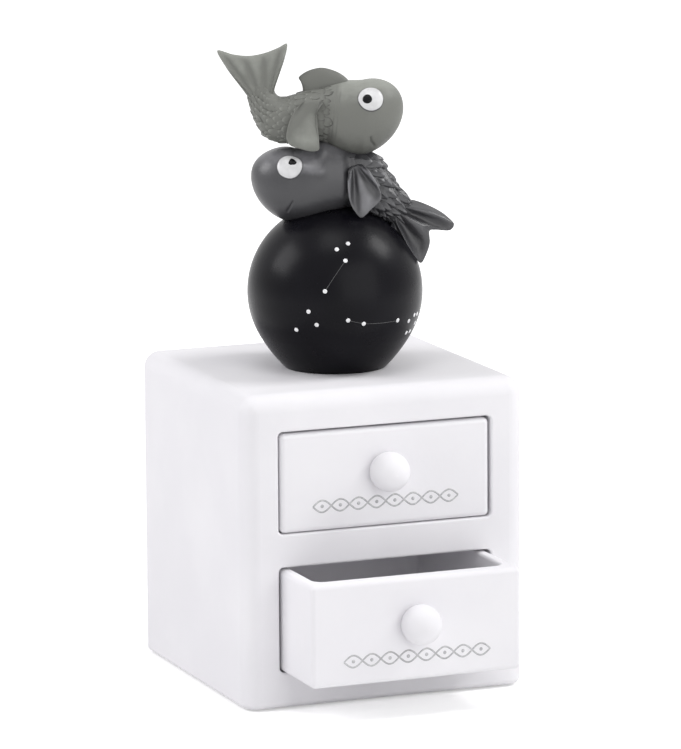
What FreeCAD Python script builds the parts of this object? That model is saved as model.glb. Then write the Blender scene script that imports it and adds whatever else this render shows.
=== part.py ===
"""Keepsake box for milk teeth, in millimetres, +Z up, with the drawer fronts towards -Y.

A cast cabinet holds two small drawers and carries a dark globe. Two fish lie stacked on the globe.
The origin is the middle of the felt pad's underside, on which the box stands.
"""
import FreeCAD
import Part
import Sketcher

import math
import os

Vector = FreeCAD.Vector

# Lengths that differ by less than this are the same, in millimetres
TOLERANCE = 0.01

# Driving dimensions: alias, value, meaning
SIZES = (
    ("cabinet_width", 60.0, "cabinet, outside width"),
    ("cabinet_depth", 60.0, "cabinet, outside depth"),
    ("cabinet_height", 63.0, "cabinet, underside to top face"),
    ("edge_radius", 3.4, "rounding of the upright and top edges"),
    ("foot_radius", 1.2, "rounding of the bottom edges"),
    ("side_wall", 7.3, "cabinet side beside a drawer"),
    ("back_wall", 6.5, "cabinet back behind the drawers"),
    ("top_wall", 7.4, "cabinet top above the upper drawer"),
    ("bottom_wall", 7.2, "cabinet bottom below the lower drawer"),
    ("divider", 6.7, "rail between the two drawers"),
    ("lower_bay_height", 21.2, "opening of the lower drawer"),
    ("bay_corner_radius", 1.0, "rounding along the inner corners of a bay"),
    ("mouth_radius", 0.5, "softened rim of a drawer opening"),
    ("felt_thickness", 1.0, "felt pad"),
    ("felt_recess", 0.6, "depth that the felt is let into the underside"),
    ("felt_inset", 5.0, "felt edge in from the cabinet's sides"),
    ("glue_gap", 0.05, "play of a glued spigot or pad in its recess"),
    ("drawer_gap", 0.45, "play beside and above a drawer"),
    ("runner_gap", 0.15, "play under a drawer"),
    ("drawer_back_gap", 2.5, "play behind a closed drawer"),
    ("front_wall", 3.6, "drawer front"),
    ("tray_wall", 2.4, "drawer sides and back"),
    ("tray_floor", 2.4, "drawer bottom"),
    ("drawer_edge_radius", 1.0, "rounding of the drawer's outer edges"),
    ("rim_radius", 0.6, "rounding of the tray's rim"),
    ("tray_corner_radius", 2.0, "rounding of the tray's inner upright corners"),
    ("lower_drawer_pull", 16.0, "how far the lower drawer stands open"),
    ("knob_diameter", 8.0, "ball knob"),
    ("knob_reach", 6.2, "knob, front face to its crown"),
    ("knob_lift", 1.2, "knob above the middle of the drawer front"),
    ("knob_spigot_diameter", 3.0, "spigot glued into the drawer front"),
    ("knob_spigot_length", 2.4, "spigot length"),
    ("globe_radius", 17.65, "globe above its shoulder"),
    ("globe_flat", 2.25, "height that the flat base takes off the ball"),
    ("globe_shoulder_rise", 6.6, "where the fuller lower curve begins, above the base"),
    ("globe_lower_radius", 30.8, "fuller curve from the shoulder down to the base"),
    ("globe_forward", 3.5, "globe centre in front of the cabinet's middle"),
    ("globe_spigot_diameter", 8.0, "spigot under the globe"),
    ("globe_spigot_length", 3.0, "spigot length"),
    ("figure_turn", 21.6, "degrees that the fish are turned to the left of the front"),
    ("saddle_depth", 0.8, "how deep the lower trunk is hollowed to fit the globe"),
    ("cheek_sink", 0.8, "how much deeper the lower head is hollowed"),
    ("lower_head_height", 14.9, "lower fish, head height"),
    ("lower_head_width", 14.0, "lower fish, head width"),
    ("lower_nose_length", 8.6, "lower fish, widest part of the head to the nose"),
    ("lower_cheek_length", 10.5, "lower fish, widest part of the head to the gill edge"),
    ("lower_head_tilt", 12.0, "degrees that the lower nose points up"),
    ("lower_head_bearing", 112.0, "degrees round the globe to the head's middle"),
    ("lower_gill_height", 12.4, "lower fish, trunk height behind the gill"),
    ("lower_gill_width", 10.4, "lower fish, trunk width behind the gill"),
    ("lower_stalk_height", 6.8, "lower fish, trunk height at the tail"),
    ("lower_stalk_width", 5.7, "lower fish, trunk width at the tail"),
    ("lower_stalk_bearing", 48.0, "degrees round the globe to the root of the tail"),
    ("lower_tail_length", 8.6, "lower fish, tail root to the lobes' tips"),
    ("lower_tail_span", 10.6, "lower fish, across the lobes' tips"),
    ("lower_tail_notch", 3.1, "lower fish, depth of the notch between the lobes"),
    ("lower_tail_lift", 5.0, "degrees that the lower tail stands off the globe"),
    ("nest_depth", 1.5, "how deep the upper fish is hollowed to fit the lower one"),
    ("upper_head_height", 14.9, "upper fish, head height"),
    ("upper_head_width", 14.0, "upper fish, head width"),
    ("upper_nose_length", 7.8, "upper fish, widest part of the head to the nose"),
    ("upper_cheek_length", 14.0, "upper fish, widest part of the head to the end of the cheek"),
    ("upper_head_tilt", 14.0, "degrees that the upper nose points up"),
    ("upper_head_reach", 5.9, "upper head's middle to the right of the globe's axis"),
    ("upper_gill_height", 13.6, "upper fish, trunk height behind the gill"),
    ("upper_gill_width", 11.4, "upper fish, trunk width behind the gill"),
    ("upper_stalk_height", 5.6, "upper fish, trunk height at the tail"),
    ("upper_stalk_width", 4.7, "upper fish, trunk width at the tail"),
    ("upper_trunk_length", 14.2, "upper fish, head's middle to the start of the bend"),
    ("upper_trunk_drop", 0.7, "upper fish, trunk axis below the head's middle"),
    ("upper_bend_radius", 7.4, "upper fish, bend of the trunk's axis"),
    ("upper_bend_angle", 80.0, "degrees that the trunk bends up"),
    ("upper_tail_length", 8.8, "upper fish, tail root to the lobes' tips"),
    ("upper_tail_span", 13.9, "upper fish, across the lobes' tips"),
    ("upper_tail_notch", 1.5, "upper fish, hollow of the trailing edge"),
    ("tail_thickness", 1.6, "tail fin near its trailing edge"),
    ("fin_thickness", 1.6, "side fins and back fin"),
    ("fin_edge_radius", 0.45, "rounding of the fins' edges"),
    ("fin_tip_radius", 0.9, "rounding of the fins' corners"),
    ("fin_root_depth", 1.0, "how deep a side fin's root is let into the flank"),
    ("upper_fin_splay", 13.0, "degrees that the upper side fins stand out"),
    ("upper_fin_setback", 11.6, "upper side fin's root behind the head's middle"),
    ("upper_fin_length", 9.0, "upper side fin, root to tip"),
    ("upper_fin_rise", 2.9, "upper side fin's root above the trunk's axis"),
    ("lower_fin_splay", 13.0, "degrees that the lower side fins stand out"),
    ("lower_fin_bearing", 80.0, "degrees round the globe to the lower side fins"),
    ("lower_fin_length", 10.8, "lower side fin, root to tip"),
    ("lower_fin_rise", 3.2, "lower side fin's root above the trunk's axis"),
    ("back_fin_length", 10.2, "back fin along the upper fish"),
    ("back_fin_height", 4.4, "back fin above its root"),
    ("back_fin_setback", 7.9, "back fin's middle behind the head's middle"),
    ("eye_radius", 2.5, "eye, across its rim"),
    ("eye_dome", 0.9, "eye, crown above its rim"),
    ("eye_sink", 0.45, "rim of the eye below the head's skin"),
    ("eye_forward", 1.5, "eye in front of the head's widest part"),
    ("eye_angle", 34.0, "degrees round the head from its side up to the eye"),
)

# Worked-out sizes, as expressions on the sheet
CABINET_FLOOR = "(Sizes.felt_thickness - Sizes.felt_recess)"
BAY_WIDTH = "(Sizes.cabinet_width - 2 * Sizes.side_wall)"
BAY_DEPTH = "(Sizes.cabinet_depth - Sizes.back_wall)"
LOWER_BAY = "Sizes.bottom_wall"
UPPER_BAY = "(Sizes.bottom_wall + Sizes.lower_bay_height + Sizes.divider)"
UPPER_BAY_HEIGHT = f"(Sizes.cabinet_height - Sizes.top_wall - {UPPER_BAY})"
DRAWER_PLAY = "(Sizes.drawer_gap + Sizes.runner_gap)"
LOWER_DRAWER_HEIGHT = f"(Sizes.lower_bay_height - {DRAWER_PLAY})"
UPPER_DRAWER_HEIGHT = f"({UPPER_BAY_HEIGHT} - {DRAWER_PLAY})"
DRAWER_WIDTH = f"({BAY_WIDTH} - 2 * Sizes.drawer_gap)"
DRAWER_LENGTH = f"({BAY_DEPTH} - Sizes.drawer_back_gap)"
FRONT = "(-Sizes.cabinet_depth / 2)"
GLOBE_DROP = "(Sizes.globe_radius - Sizes.globe_flat)"
GLOBE_CENTRE = f"({CABINET_FLOOR} + Sizes.cabinet_height + {GLOBE_DROP})"
# From the globe's centre: out to the lower head, and up to the upper head, trunk and bend
LOWER_REACH = "(Sizes.globe_radius + Sizes.lower_head_height / 2 - Sizes.saddle_depth - Sizes.cheek_sink)"
UPPER_UP = ("(Sizes.globe_radius - Sizes.saddle_depth + Sizes.lower_gill_height"
            " + Sizes.upper_head_height / 2 - Sizes.nest_depth)")
UPPER_AXIS = f"({UPPER_UP} - Sizes.upper_trunk_drop)"
UPPER_BEND = "(Sizes.upper_head_reach - Sizes.upper_trunk_length)"

doc = FreeCAD.newDocument("TeethBox")
sheet = doc.addObject("Spreadsheet::Sheet", "Sizes")
nodes = []


def fill_sheet():
    """Writes the driving dimensions into the sheet, one aliased cell each."""
    for row, (alias, value, meaning) in enumerate(SIZES, start=1):
        sheet.set(f"A{row}", meaning)
        sheet.set(f"B{row}", str(value))
        sheet.setAlias(f"B{row}", alias)
    doc.recompute()


def size(alias):
    """Reads one driving dimension from the sheet."""
    return float(sheet.get(alias))


def worked_out(expression):
    """Works out an expression on the sheet as a plain number."""
    return float(sheet.evalExpression(expression))


def bind(item, **expressions):
    """Binds properties to the sheet; a double underscore in a keyword stands for a dot."""
    for path, text in expressions.items():
        item.setExpression(path.replace("__", "."), text)


def keep(item, label):
    """Names a finished piece and puts it on the list that is written out."""
    item.Label = label
    nodes.append(item)
    return item


# Sketches and features

def new_sketch(body, name, role):
    """Starts a sketch on one of the body's origin planes."""
    sketch = body.newObject("Sketcher::SketchObject", name)
    plane = next(item for item in body.Origin.OriginFeatures if item.Role == role)
    sketch.AttachmentSupport = [(plane, "")]
    sketch.MapMode = "FlatFace"
    return sketch


def dimension(sketch, name, expression, *terms):
    """Adds a named dimension and binds it to the sheet."""
    index = sketch.addConstraint(Sketcher.Constraint(*terms))
    sketch.renameConstraint(index, name)
    sketch.setExpression(f"Constraints.{name}", expression)


def join_ends(sketch, count):
    """Closes a loop of geometry, each end on the next start."""
    for edge in range(count):
        sketch.addConstraint(Sketcher.Constraint("Coincident", edge, 2, (edge + 1) % count, 1))


def rectangle(body, name, role, width, length, left, near, level="0"):
    """Draws a rectangle whose first corner is placed by the sketch's offset."""
    sketch = new_sketch(body, name, role)
    corners = (Vector(0, 0), Vector(1, 0), Vector(1, 1), Vector(0, 1))
    for start, end in zip(corners, corners[1:] + corners[:1]):
        sketch.addGeometry(Part.LineSegment(start, end))
    join_ends(sketch, len(corners))
    for edge in (0, 2):
        sketch.addConstraint(Sketcher.Constraint("Horizontal", edge))
    for edge in (1, 3):
        sketch.addConstraint(Sketcher.Constraint("Vertical", edge))
    sketch.addConstraint(Sketcher.Constraint("Coincident", 0, 1, -1, 1))
    dimension(sketch, "width", width, "DistanceX", 0, 1, 0, 2, 1.0)
    dimension(sketch, "length", length, "DistanceY", 1, 1, 1, 2, 1.0)
    bind(sketch, AttachmentOffset__Base__x=left, AttachmentOffset__Base__y=near,
         AttachmentOffset__Base__z=level)
    return sketch


def circle(body, name, role, radius, across, along, level="0"):
    """Draws a circle whose centre is placed by the sketch's offset."""
    sketch = new_sketch(body, name, role)
    sketch.addGeometry(Part.Circle(Vector(0, 0), Vector(0, 0, 1), 1.0))
    sketch.addConstraint(Sketcher.Constraint("Coincident", 0, 3, -1, 1))
    dimension(sketch, "radius", radius, "Radius", 0, 1.0)
    bind(sketch, AttachmentOffset__Base__x=across, AttachmentOffset__Base__y=along,
         AttachmentOffset__Base__z=level)
    return sketch


def pad(body, sketch, length):
    """Raises a sketch into the body."""
    feature = body.newObject("PartDesign::Pad", f"{sketch.Name}_pad")
    feature.Profile = sketch
    bind(feature, Length=length)
    doc.recompute()
    return feature


def pocket(body, sketch, depth, upwards=False):
    """Cuts a sketch into the body, against the sketch's normal or with it."""
    volume = body.Shape.Volume
    feature = body.newObject("PartDesign::Pocket", f"{sketch.Name}_pocket")
    feature.Profile = sketch
    feature.Reversed = upwards
    bind(feature, Length=depth)
    doc.recompute()
    if not feature.Shape.Volume < volume:
        raise RuntimeError(f"{feature.Name} cuts nothing")
    return feature


def round_edges(body, name, radius, chosen):
    """Rounds those edges of the body that the test picks."""
    base = body.Tip
    names = [f"Edge{number}" for number, edge in enumerate(base.Shape.Edges, start=1) if chosen(edge)]
    feature = body.newObject("PartDesign::Fillet", name)
    feature.Base = (base, names)
    bind(feature, Radius=radius)
    doc.recompute()
    return feature


def revolve(body, sketch):
    """Turns a sketch round its upright axis."""
    feature = body.newObject("PartDesign::Revolution", f"{sketch.Name}_turned")
    feature.Profile = sketch
    feature.ReferenceAxis = (sketch, ["V_Axis"])
    feature.Angle = 360
    doc.recompute()
    return feature


def near(value, target):
    """Tells whether two lengths agree."""
    return abs(value - target) < TOLERANCE


def runs_along(edge, axis):
    """Tells whether an edge is straight along the X, Y or Z axis, given as 0, 1 or 2."""
    if len(edge.Vertexes) != 2:
        return False
    span = edge.Vertexes[1].Point - edge.Vertexes[0].Point
    return near(abs(span[axis]), edge.Length)


def lies_at(edge, axis, value):
    """Tells whether every end of an edge has this coordinate."""
    return all(near(vertex.Point[axis], value) for vertex in edge.Vertexes)


# Cabinet and felt

def make_cabinet():
    """Casts the cabinet: a rounded block with two drawer bays, a felt recess and a socket for the globe."""
    body = doc.addObject("PartDesign::Body", "cabinet")
    block = rectangle(body, "block", "XY_Plane", "Sizes.cabinet_width", "Sizes.cabinet_depth",
                      "-Sizes.cabinet_width / 2", FRONT)
    pad(body, block, "Sizes.cabinet_height")
    round_edges(body, "outer_rounding", "Sizes.edge_radius", lambda edge: not lies_at(edge, 2, 0.0))
    round_edges(body, "foot_rounding", "Sizes.foot_radius", lambda edge: lies_at(edge, 2, 0.0))
    bays = (("lower_bay", LOWER_BAY, "Sizes.lower_bay_height"), ("upper_bay", UPPER_BAY, UPPER_BAY_HEIGHT))
    for name, floor, height in bays:
        mouth = rectangle(body, name, "XZ_Plane", BAY_WIDTH, height, f"-{BAY_WIDTH} / 2", floor, f"-{FRONT}")
        pocket(body, mouth, BAY_DEPTH)
    half_bay = size("cabinet_width") / 2 - size("side_wall")
    round_edges(body, "bay_corners", "Sizes.bay_corner_radius",
                lambda edge: runs_along(edge, 1) and near(abs(edge.CenterOfMass.x), half_bay))
    front = worked_out(FRONT)
    # An outline edge of the front lies beyond the bays, so its middle tells it from a bay's rim.
    top = size("cabinet_height") - size("top_wall")
    round_edges(body, "bay_mouths", "Sizes.mouth_radius",
                lambda edge: lies_at(edge, 1, front) and abs(edge.CenterOfMass.x) < half_bay + TOLERANCE
                and size("bottom_wall") - TOLERANCE < edge.CenterOfMass.z < top + TOLERANCE)
    felt_bed = rectangle(body, "felt_bed", "XY_Plane", "Sizes.cabinet_width - 2 * Sizes.felt_inset",
                         "Sizes.cabinet_depth - 2 * Sizes.felt_inset",
                         "-Sizes.cabinet_width / 2 + Sizes.felt_inset", f"{FRONT} + Sizes.felt_inset")
    pocket(body, felt_bed, "Sizes.felt_recess", upwards=True)
    socket = circle(body, "globe_socket", "XY_Plane", "Sizes.globe_spigot_diameter / 2 + Sizes.glue_gap",
                    "0", "-Sizes.globe_forward", "Sizes.cabinet_height")
    pocket(body, socket, "Sizes.globe_spigot_length + Sizes.glue_gap")
    bind(body, Placement__Base__z=CABINET_FLOOR)
    return keep(body, "cabinet")


def make_felt():
    """Cuts the felt pad that fills the recess under the cabinet."""
    body = doc.addObject("PartDesign::Body", "felt_pad")
    inset = "(Sizes.felt_inset + Sizes.glue_gap)"
    sheet_outline = rectangle(body, "felt_outline", "XY_Plane", f"Sizes.cabinet_width - 2 * {inset}",
                              f"Sizes.cabinet_depth - 2 * {inset}", f"-Sizes.cabinet_width / 2 + {inset}",
                              f"{FRONT} + {inset}")
    pad(body, sheet_outline, "Sizes.felt_thickness")
    return keep(body, "felt_pad")


# Drawers and knobs

def make_drawer(label, bay_floor, height, pull):
    """Casts one drawer as a tray with a thicker front, in a frame at the foot of its front face."""
    body = doc.addObject("PartDesign::Body", label)
    block = rectangle(body, f"{label}_block", "XY_Plane", DRAWER_WIDTH, DRAWER_LENGTH,
                      f"-{DRAWER_WIDTH} / 2", "0")
    pad(body, block, height)
    round_edges(body, f"{label}_outer_rounding", "Sizes.drawer_edge_radius", lambda edge: True)
    hollow = rectangle(body, f"{label}_hollow", "XY_Plane", f"{DRAWER_WIDTH} - 2 * Sizes.tray_wall",
                       f"{DRAWER_LENGTH} - Sizes.front_wall - Sizes.tray_wall",
                       f"-{DRAWER_WIDTH} / 2 + Sizes.tray_wall", "Sizes.front_wall", height)
    pocket(body, hollow, f"{height} - Sizes.tray_floor")
    inner = body.Shape.BoundBox.XMax - size("tray_wall")
    round_edges(body, f"{label}_inner_corners", "Sizes.tray_corner_radius",
                lambda edge: runs_along(edge, 2) and near(abs(edge.CenterOfMass.x), inner))
    rim = body.Shape.BoundBox.ZMax
    back = worked_out(DRAWER_LENGTH) - size("tray_wall")
    round_edges(body, f"{label}_rim", "Sizes.rim_radius",
                lambda edge: lies_at(edge, 2, rim) and abs(edge.CenterOfMass.x) < inner + TOLERANCE
                and size("front_wall") - TOLERANCE < edge.CenterOfMass.y < back + TOLERANCE)
    hole = circle(body, f"{label}_knob_hole", "XZ_Plane", "Sizes.knob_spigot_diameter / 2 + Sizes.glue_gap",
                  "0", f"{height} / 2 + Sizes.knob_lift")
    pocket(body, hole, "Sizes.knob_spigot_length + Sizes.glue_gap")
    bind(body, Placement__Base__y=f"{FRONT} - {pull}",
         Placement__Base__z=f"{CABINET_FLOOR} + {bay_floor} + Sizes.runner_gap")
    return keep(body, label)


def make_knob(label, bay_floor, height, pull):
    """Turns a ball knob with a flat back and a spigot, its axis pointing out of the drawer front."""
    body = doc.addObject("PartDesign::Body", label)
    sketch = new_sketch(body, f"{label}_profile", "XZ_Plane")
    ball = size("knob_diameter") / 2
    reach = size("knob_reach")
    spigot = size("knob_spigot_diameter") / 2
    depth = size("knob_spigot_length")
    centre = reach - ball
    seat = math.sqrt(ball ** 2 - centre ** 2)
    points = (Vector(0, reach), Vector(0, -depth), Vector(spigot, -depth), Vector(spigot, 0), Vector(seat, 0))
    for start, end in zip(points, points[1:]):
        sketch.addGeometry(Part.LineSegment(start, end))
    ball_circle = Part.Circle(Vector(0, centre), Vector(0, 0, 1), ball)
    sketch.addGeometry(Part.ArcOfCircle(ball_circle, math.atan2(-centre, seat), math.pi / 2))
    join_ends(sketch, 5)
    sketch.addConstraint(Sketcher.Constraint("Vertical", 0))
    sketch.addConstraint(Sketcher.Constraint("Horizontal", 1))
    sketch.addConstraint(Sketcher.Constraint("Vertical", 2))
    sketch.addConstraint(Sketcher.Constraint("Horizontal", 3))
    sketch.addConstraint(Sketcher.Constraint("PointOnObject", 0, 1, -2))
    sketch.addConstraint(Sketcher.Constraint("PointOnObject", 4, 3, -2))
    sketch.addConstraint(Sketcher.Constraint("PointOnObject", 3, 1, -1))
    dimension(sketch, "reach", "Sizes.knob_reach", "DistanceY", -1, 1, 0, 1, reach)
    dimension(sketch, "depth", "Sizes.knob_spigot_length", "DistanceY", 1, 1, -1, 1, depth)
    dimension(sketch, "spigot", "Sizes.knob_spigot_diameter / 2", "DistanceX", 1, 1, 1, 2, spigot)
    dimension(sketch, "ball", "Sizes.knob_diameter / 2", "Radius", 4, ball)
    revolve(body, sketch)
    body.Placement.Rotation = FreeCAD.Rotation(Vector(1, 0, 0), 90)
    foot = f"{CABINET_FLOOR} + {bay_floor} + Sizes.runner_gap"
    bind(body, Placement__Base__y=f"{FRONT} - {pull}",
         Placement__Base__z=f"{foot} + {height} / 2 + Sizes.knob_lift")
    return keep(body, label)


# Globe

def make_globe():
    """Turns the globe: a ball whose lower curve is fuller, on a flat base with a spigot."""
    body = doc.addObject("PartDesign::Body", "globe")
    sketch = new_sketch(body, "globe_profile", "XZ_Plane")
    radius = size("globe_radius")
    drop = worked_out(GLOBE_DROP)
    spigot = size("globe_spigot_diameter") / 2
    depth = size("globe_spigot_length")
    lower_radius = size("globe_lower_radius")
    shoulder_drop = drop - size("globe_shoulder_rise")
    shoulder = -math.asin(shoulder_drop / radius)
    # The lower curve touches the ball at the shoulder and runs down to the base.
    lower_centre = Vector(math.cos(shoulder), math.sin(shoulder)) * (radius - lower_radius)
    fall = drop + lower_centre.y
    foot = Vector(lower_centre.x + math.sqrt(lower_radius ** 2 - fall ** 2), -drop)
    points = (Vector(0, radius), Vector(0, -drop - depth), Vector(spigot, -drop - depth),
              Vector(spigot, -drop), foot)
    for start, end in zip(points, points[1:]):
        sketch.addGeometry(Part.LineSegment(start, end))
    from_centre = foot - lower_centre
    lower = Part.Circle(lower_centre, Vector(0, 0, 1), lower_radius)
    sketch.addGeometry(Part.ArcOfCircle(lower, math.atan2(from_centre.y, from_centre.x), shoulder))
    ball = Part.Circle(Vector(0, 0), Vector(0, 0, 1), radius)
    sketch.addGeometry(Part.ArcOfCircle(ball, shoulder, math.pi / 2))
    for edge in (0, 1, 2, 3, 5):
        sketch.addConstraint(Sketcher.Constraint("Coincident", edge, 2, (edge + 1) % 6, 1))
    sketch.addConstraint(Sketcher.Constraint("Tangent", 4, 2, 5, 1))
    sketch.addConstraint(Sketcher.Constraint("Vertical", 0))
    sketch.addConstraint(Sketcher.Constraint("Horizontal", 1))
    sketch.addConstraint(Sketcher.Constraint("Vertical", 2))
    sketch.addConstraint(Sketcher.Constraint("Horizontal", 3))
    sketch.addConstraint(Sketcher.Constraint("PointOnObject", 0, 1, -2))
    sketch.addConstraint(Sketcher.Constraint("Coincident", 5, 3, -1, 1))
    dimension(sketch, "radius", "Sizes.globe_radius", "Radius", 5, radius)
    dimension(sketch, "lower", "Sizes.globe_lower_radius", "Radius", 4, lower_radius)
    dimension(sketch, "drop", GLOBE_DROP, "DistanceY", 3, 2, -1, 1, drop)
    dimension(sketch, "shoulder", f"{GLOBE_DROP} - Sizes.globe_shoulder_rise", "DistanceY", 5, 1, -1, 1,
              shoulder_drop)
    dimension(sketch, "spigot", "Sizes.globe_spigot_diameter / 2", "DistanceX", 1, 1, 1, 2, spigot)
    dimension(sketch, "depth", "Sizes.globe_spigot_length", "DistanceY", 2, 1, 2, 2, depth)
    revolve(body, sketch)
    place_figure(body)
    return keep(body, "globe")


# Fish

def place_figure(item):
    """Puts a piece drawn round the globe's centre into its place, turned with the fish."""
    item.Placement = FreeCAD.Placement(Vector(), FreeCAD.Rotation(Vector(0, 0, 1), -size("figure_turn")))
    bind(item, Placement__Base__y="-Sizes.globe_forward", Placement__Base__z=GLOBE_CENTRE)
    return item


def cut(name, base, tool):
    """Takes one piece's shape out of another, so that the two meet face to face."""
    result = doc.addObject("Part::Cut", name)
    result.Base = base
    result.Tool = tool
    doc.recompute()
    return result


def oval(name, height, width, across, up, slope):
    """Makes one oval cross-section whose tall axis leans by slope degrees from +X towards +Z."""
    section = doc.addObject("Part::Ellipse", name)
    section.Placement.Rotation = FreeCAD.Rotation(Vector(0, 1, 0), -slope)
    bind(section, MajorRadius=f"{height} / 2", MinorRadius=f"{width} / 2",
         Placement__Base__x=across, Placement__Base__z=up)
    return section


def loft(name, sections):
    """Skins a row of cross-sections into one solid."""
    doc.recompute()
    skin = doc.addObject("Part::Loft", name)
    skin.Sections = sections
    skin.Solid = True
    doc.recompute()
    return skin


def head_axes(fish, facing):
    """Gives the forward and upright directions of a head that faces right (1) or left (-1)."""
    tilt = math.radians(size(f"{fish}_head_tilt"))
    forward = Vector(facing * math.cos(tilt), 0, math.sin(tilt))
    upright = Vector(-facing * math.sin(tilt), 0, math.cos(tilt))
    return forward, upright


def make_head(fish, facing, across, up):
    """Makes an egg-shaped head from two half ellipsoids that share their widest section."""
    forward, upright = head_axes(fish, facing)
    halves = []
    for name, length, axis in (("nose", f"Sizes.{fish}_nose_length", forward),
                               ("cheek", f"Sizes.{fish}_cheek_length", -forward)):
        half = doc.addObject("Part::Ellipsoid", f"{fish}_{name}")
        half.Angle1 = 0
        half.Angle2 = 90
        half.Angle3 = 360
        half.Placement.Rotation = FreeCAD.Rotation(upright, axis.cross(upright), axis, "ZXY")
        bind(half, Radius1=length, Radius2=f"Sizes.{fish}_head_height / 2",
             Radius3=f"Sizes.{fish}_head_width / 2", Placement__Base__x=across, Placement__Base__z=up)
        halves.append(half)
    doc.recompute()
    return halves


def trunk_girth(fish, way, share):
    """Gives a trunk's height or width between its tail stalk (0) and its gill (1), as an expression."""
    stalk = f"Sizes.{fish}_stalk_{way}"
    return f"({stalk} + (Sizes.{fish}_gill_{way} - {stalk}) * {share})"


def trunk_oval(name, fish, share, across, up, slope):
    """Makes one cross-section of a trunk."""
    height = trunk_girth(fish, "height", share)
    return oval(name, height, trunk_girth(fish, "width", share), across, up, slope)


def cast_fish(fish, solids):
    """Joins head and trunk into one casting and puts it into its place."""
    casting = doc.addObject("Part::MultiFuse", f"{fish}_casting")
    casting.Shapes = solids
    place_figure(casting)
    doc.recompute()
    return casting


def saddle_radius(share):
    """Gives how far the lower trunk's axis lies from the globe's centre, as an expression."""
    return f"(Sizes.globe_radius - Sizes.saddle_depth + {trunk_girth('lower', 'height', share)} / 2)"


def lower_bearing(share):
    """Gives a bearing round the globe between the lower tail's root (0) and the head (1), in degrees."""
    stalk = size("lower_stalk_bearing")
    return stalk + (size("lower_head_bearing") - stalk) * share


# Stations of the trunks: share of the way to the head, share of the gill height
LOWER_STATIONS = ((0.81, 1.0), (0.62, 1.0), (0.44, 0.95), (0.3, 0.62), (0.16, 0.24), (0.0, 0.0))
UPPER_STATIONS = ((0.17, 0.97), (0.52, 1.0), (0.84, 0.85), (1.0, 0.67))
UPPER_BEND_STATIONS = ((0.34, 0.48), (0.68, 0.25), (1.0, 0.0))
# Stations of a tail: share of its length, share of its spread, thickness in tail thicknesses
TAIL_STATIONS = ((0.35, 0.42, 1.7), (0.7, 0.8, 1.15), (1.12, 1.08, 0.9))


def make_lower_body():
    """Casts the lower fish, whose trunk bends round the globe, and hollows it where it rests there."""
    bearing = "Sizes.lower_head_bearing"
    solids = make_head("lower", -1, f"{LOWER_REACH} * cos({bearing})", f"{LOWER_REACH} * sin({bearing})")
    ovals = []
    for number, (along, share) in enumerate(LOWER_STATIONS):
        angle = lower_bearing(along)
        radius = saddle_radius(share)
        ovals.append(trunk_oval(f"lower_trunk_{number}", "lower", share, f"{radius} * cos({angle})",
                                f"{radius} * sin({angle})", angle))
    solids.append(loft("lower_trunk", ovals))
    casting = cast_fish("lower", solids)
    keep(cut("lower_fish_body", casting, globe), "lower_fish_body")
    return casting


def bend_point(share):
    """Gives a point on the bend of the upper trunk's axis, as two expressions."""
    angle = f"(Sizes.upper_bend_angle * {share})"
    across = f"({UPPER_BEND} - Sizes.upper_bend_radius * sin({angle}))"
    return across, f"({UPPER_AXIS} + Sizes.upper_bend_radius * (1 - cos({angle})))"


def make_upper_body(rest):
    """Casts the upper fish, whose trunk bends up to the tail, and hollows it where it rests."""
    solids = make_head("upper", 1, "Sizes.upper_head_reach", UPPER_UP)
    ovals = []
    for number, (along, share) in enumerate(UPPER_STATIONS):
        across = f"Sizes.upper_head_reach - Sizes.upper_trunk_length * {along}"
        ovals.append(trunk_oval(f"upper_trunk_{number}", "upper", share, across, UPPER_AXIS, 90))
    for number, (along, share) in enumerate(UPPER_BEND_STATIONS, start=len(ovals)):
        slope = 90 - size("upper_bend_angle") * along
        ovals.append(trunk_oval(f"upper_trunk_{number}", "upper", share, *bend_point(along), slope))
    solids.append(loft("upper_trunk", ovals))
    casting = cast_fish("upper", solids)
    keep(cut("upper_fish_body", casting, rest), "upper_fish_body")
    return casting


def make_tail(fish, root, root_slope, heading):
    """Spreads a tail from its stalk and hollows its trailing edge, in the frame of the figure."""
    across, up = root
    length = f"Sizes.{fish}_tail_length"
    span = f"Sizes.{fish}_tail_span"
    notch = f"Sizes.{fish}_tail_notch"
    ovals = [trunk_oval(f"{fish}_tail_root", fish, 0.0, across, up, root_slope)]
    stalk = f"Sizes.{fish}_stalk_height"
    for number, (along, share, thickness) in enumerate(TAIL_STATIONS):
        way = f"{length} * {along}"
        ovals.append(oval(f"{fish}_tail_{number}", f"({stalk} + ({span} - {stalk}) * {share})",
                          f"Sizes.tail_thickness * {thickness}", f"{across} + {way} * cos({heading})",
                          f"{up} + {way} * sin({heading})", heading - 90))
    blade = loft(f"{fish}_tail_blade", ovals)
    hollow = doc.addObject("Part::Cylinder", f"{fish}_tail_hollow")
    hollow.Placement.Rotation = FreeCAD.Rotation(Vector(1, 0, 0), 90)
    radius = f"((({span} / 2) ^ 2 + {notch} ^ 2) / (2 * {notch}))"
    middle = f"({length} - {notch} + {radius})"
    bind(hollow, Radius=radius, Height=span, Placement__Base__x=f"{across} + {middle} * cos({heading})",
         Placement__Base__y=f"{span} / 2", Placement__Base__z=f"{up} + {middle} * sin({heading})")
    return place_figure(cut(f"{fish}_tail_blank", blade, hollow))


def make_lower_tail():
    """Makes the lower tail, which lies against the side of the globe."""
    angle = size("lower_stalk_bearing")
    radius = saddle_radius(0.0)
    root = f"{radius} * cos({angle})", f"{radius} * sin({angle})"
    blank = make_tail("lower", root, angle, angle - 90 + size("lower_tail_lift"))
    return keep(cut("lower_fish_tail_fin", blank, globe), "lower_fish_tail_fin")


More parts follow.
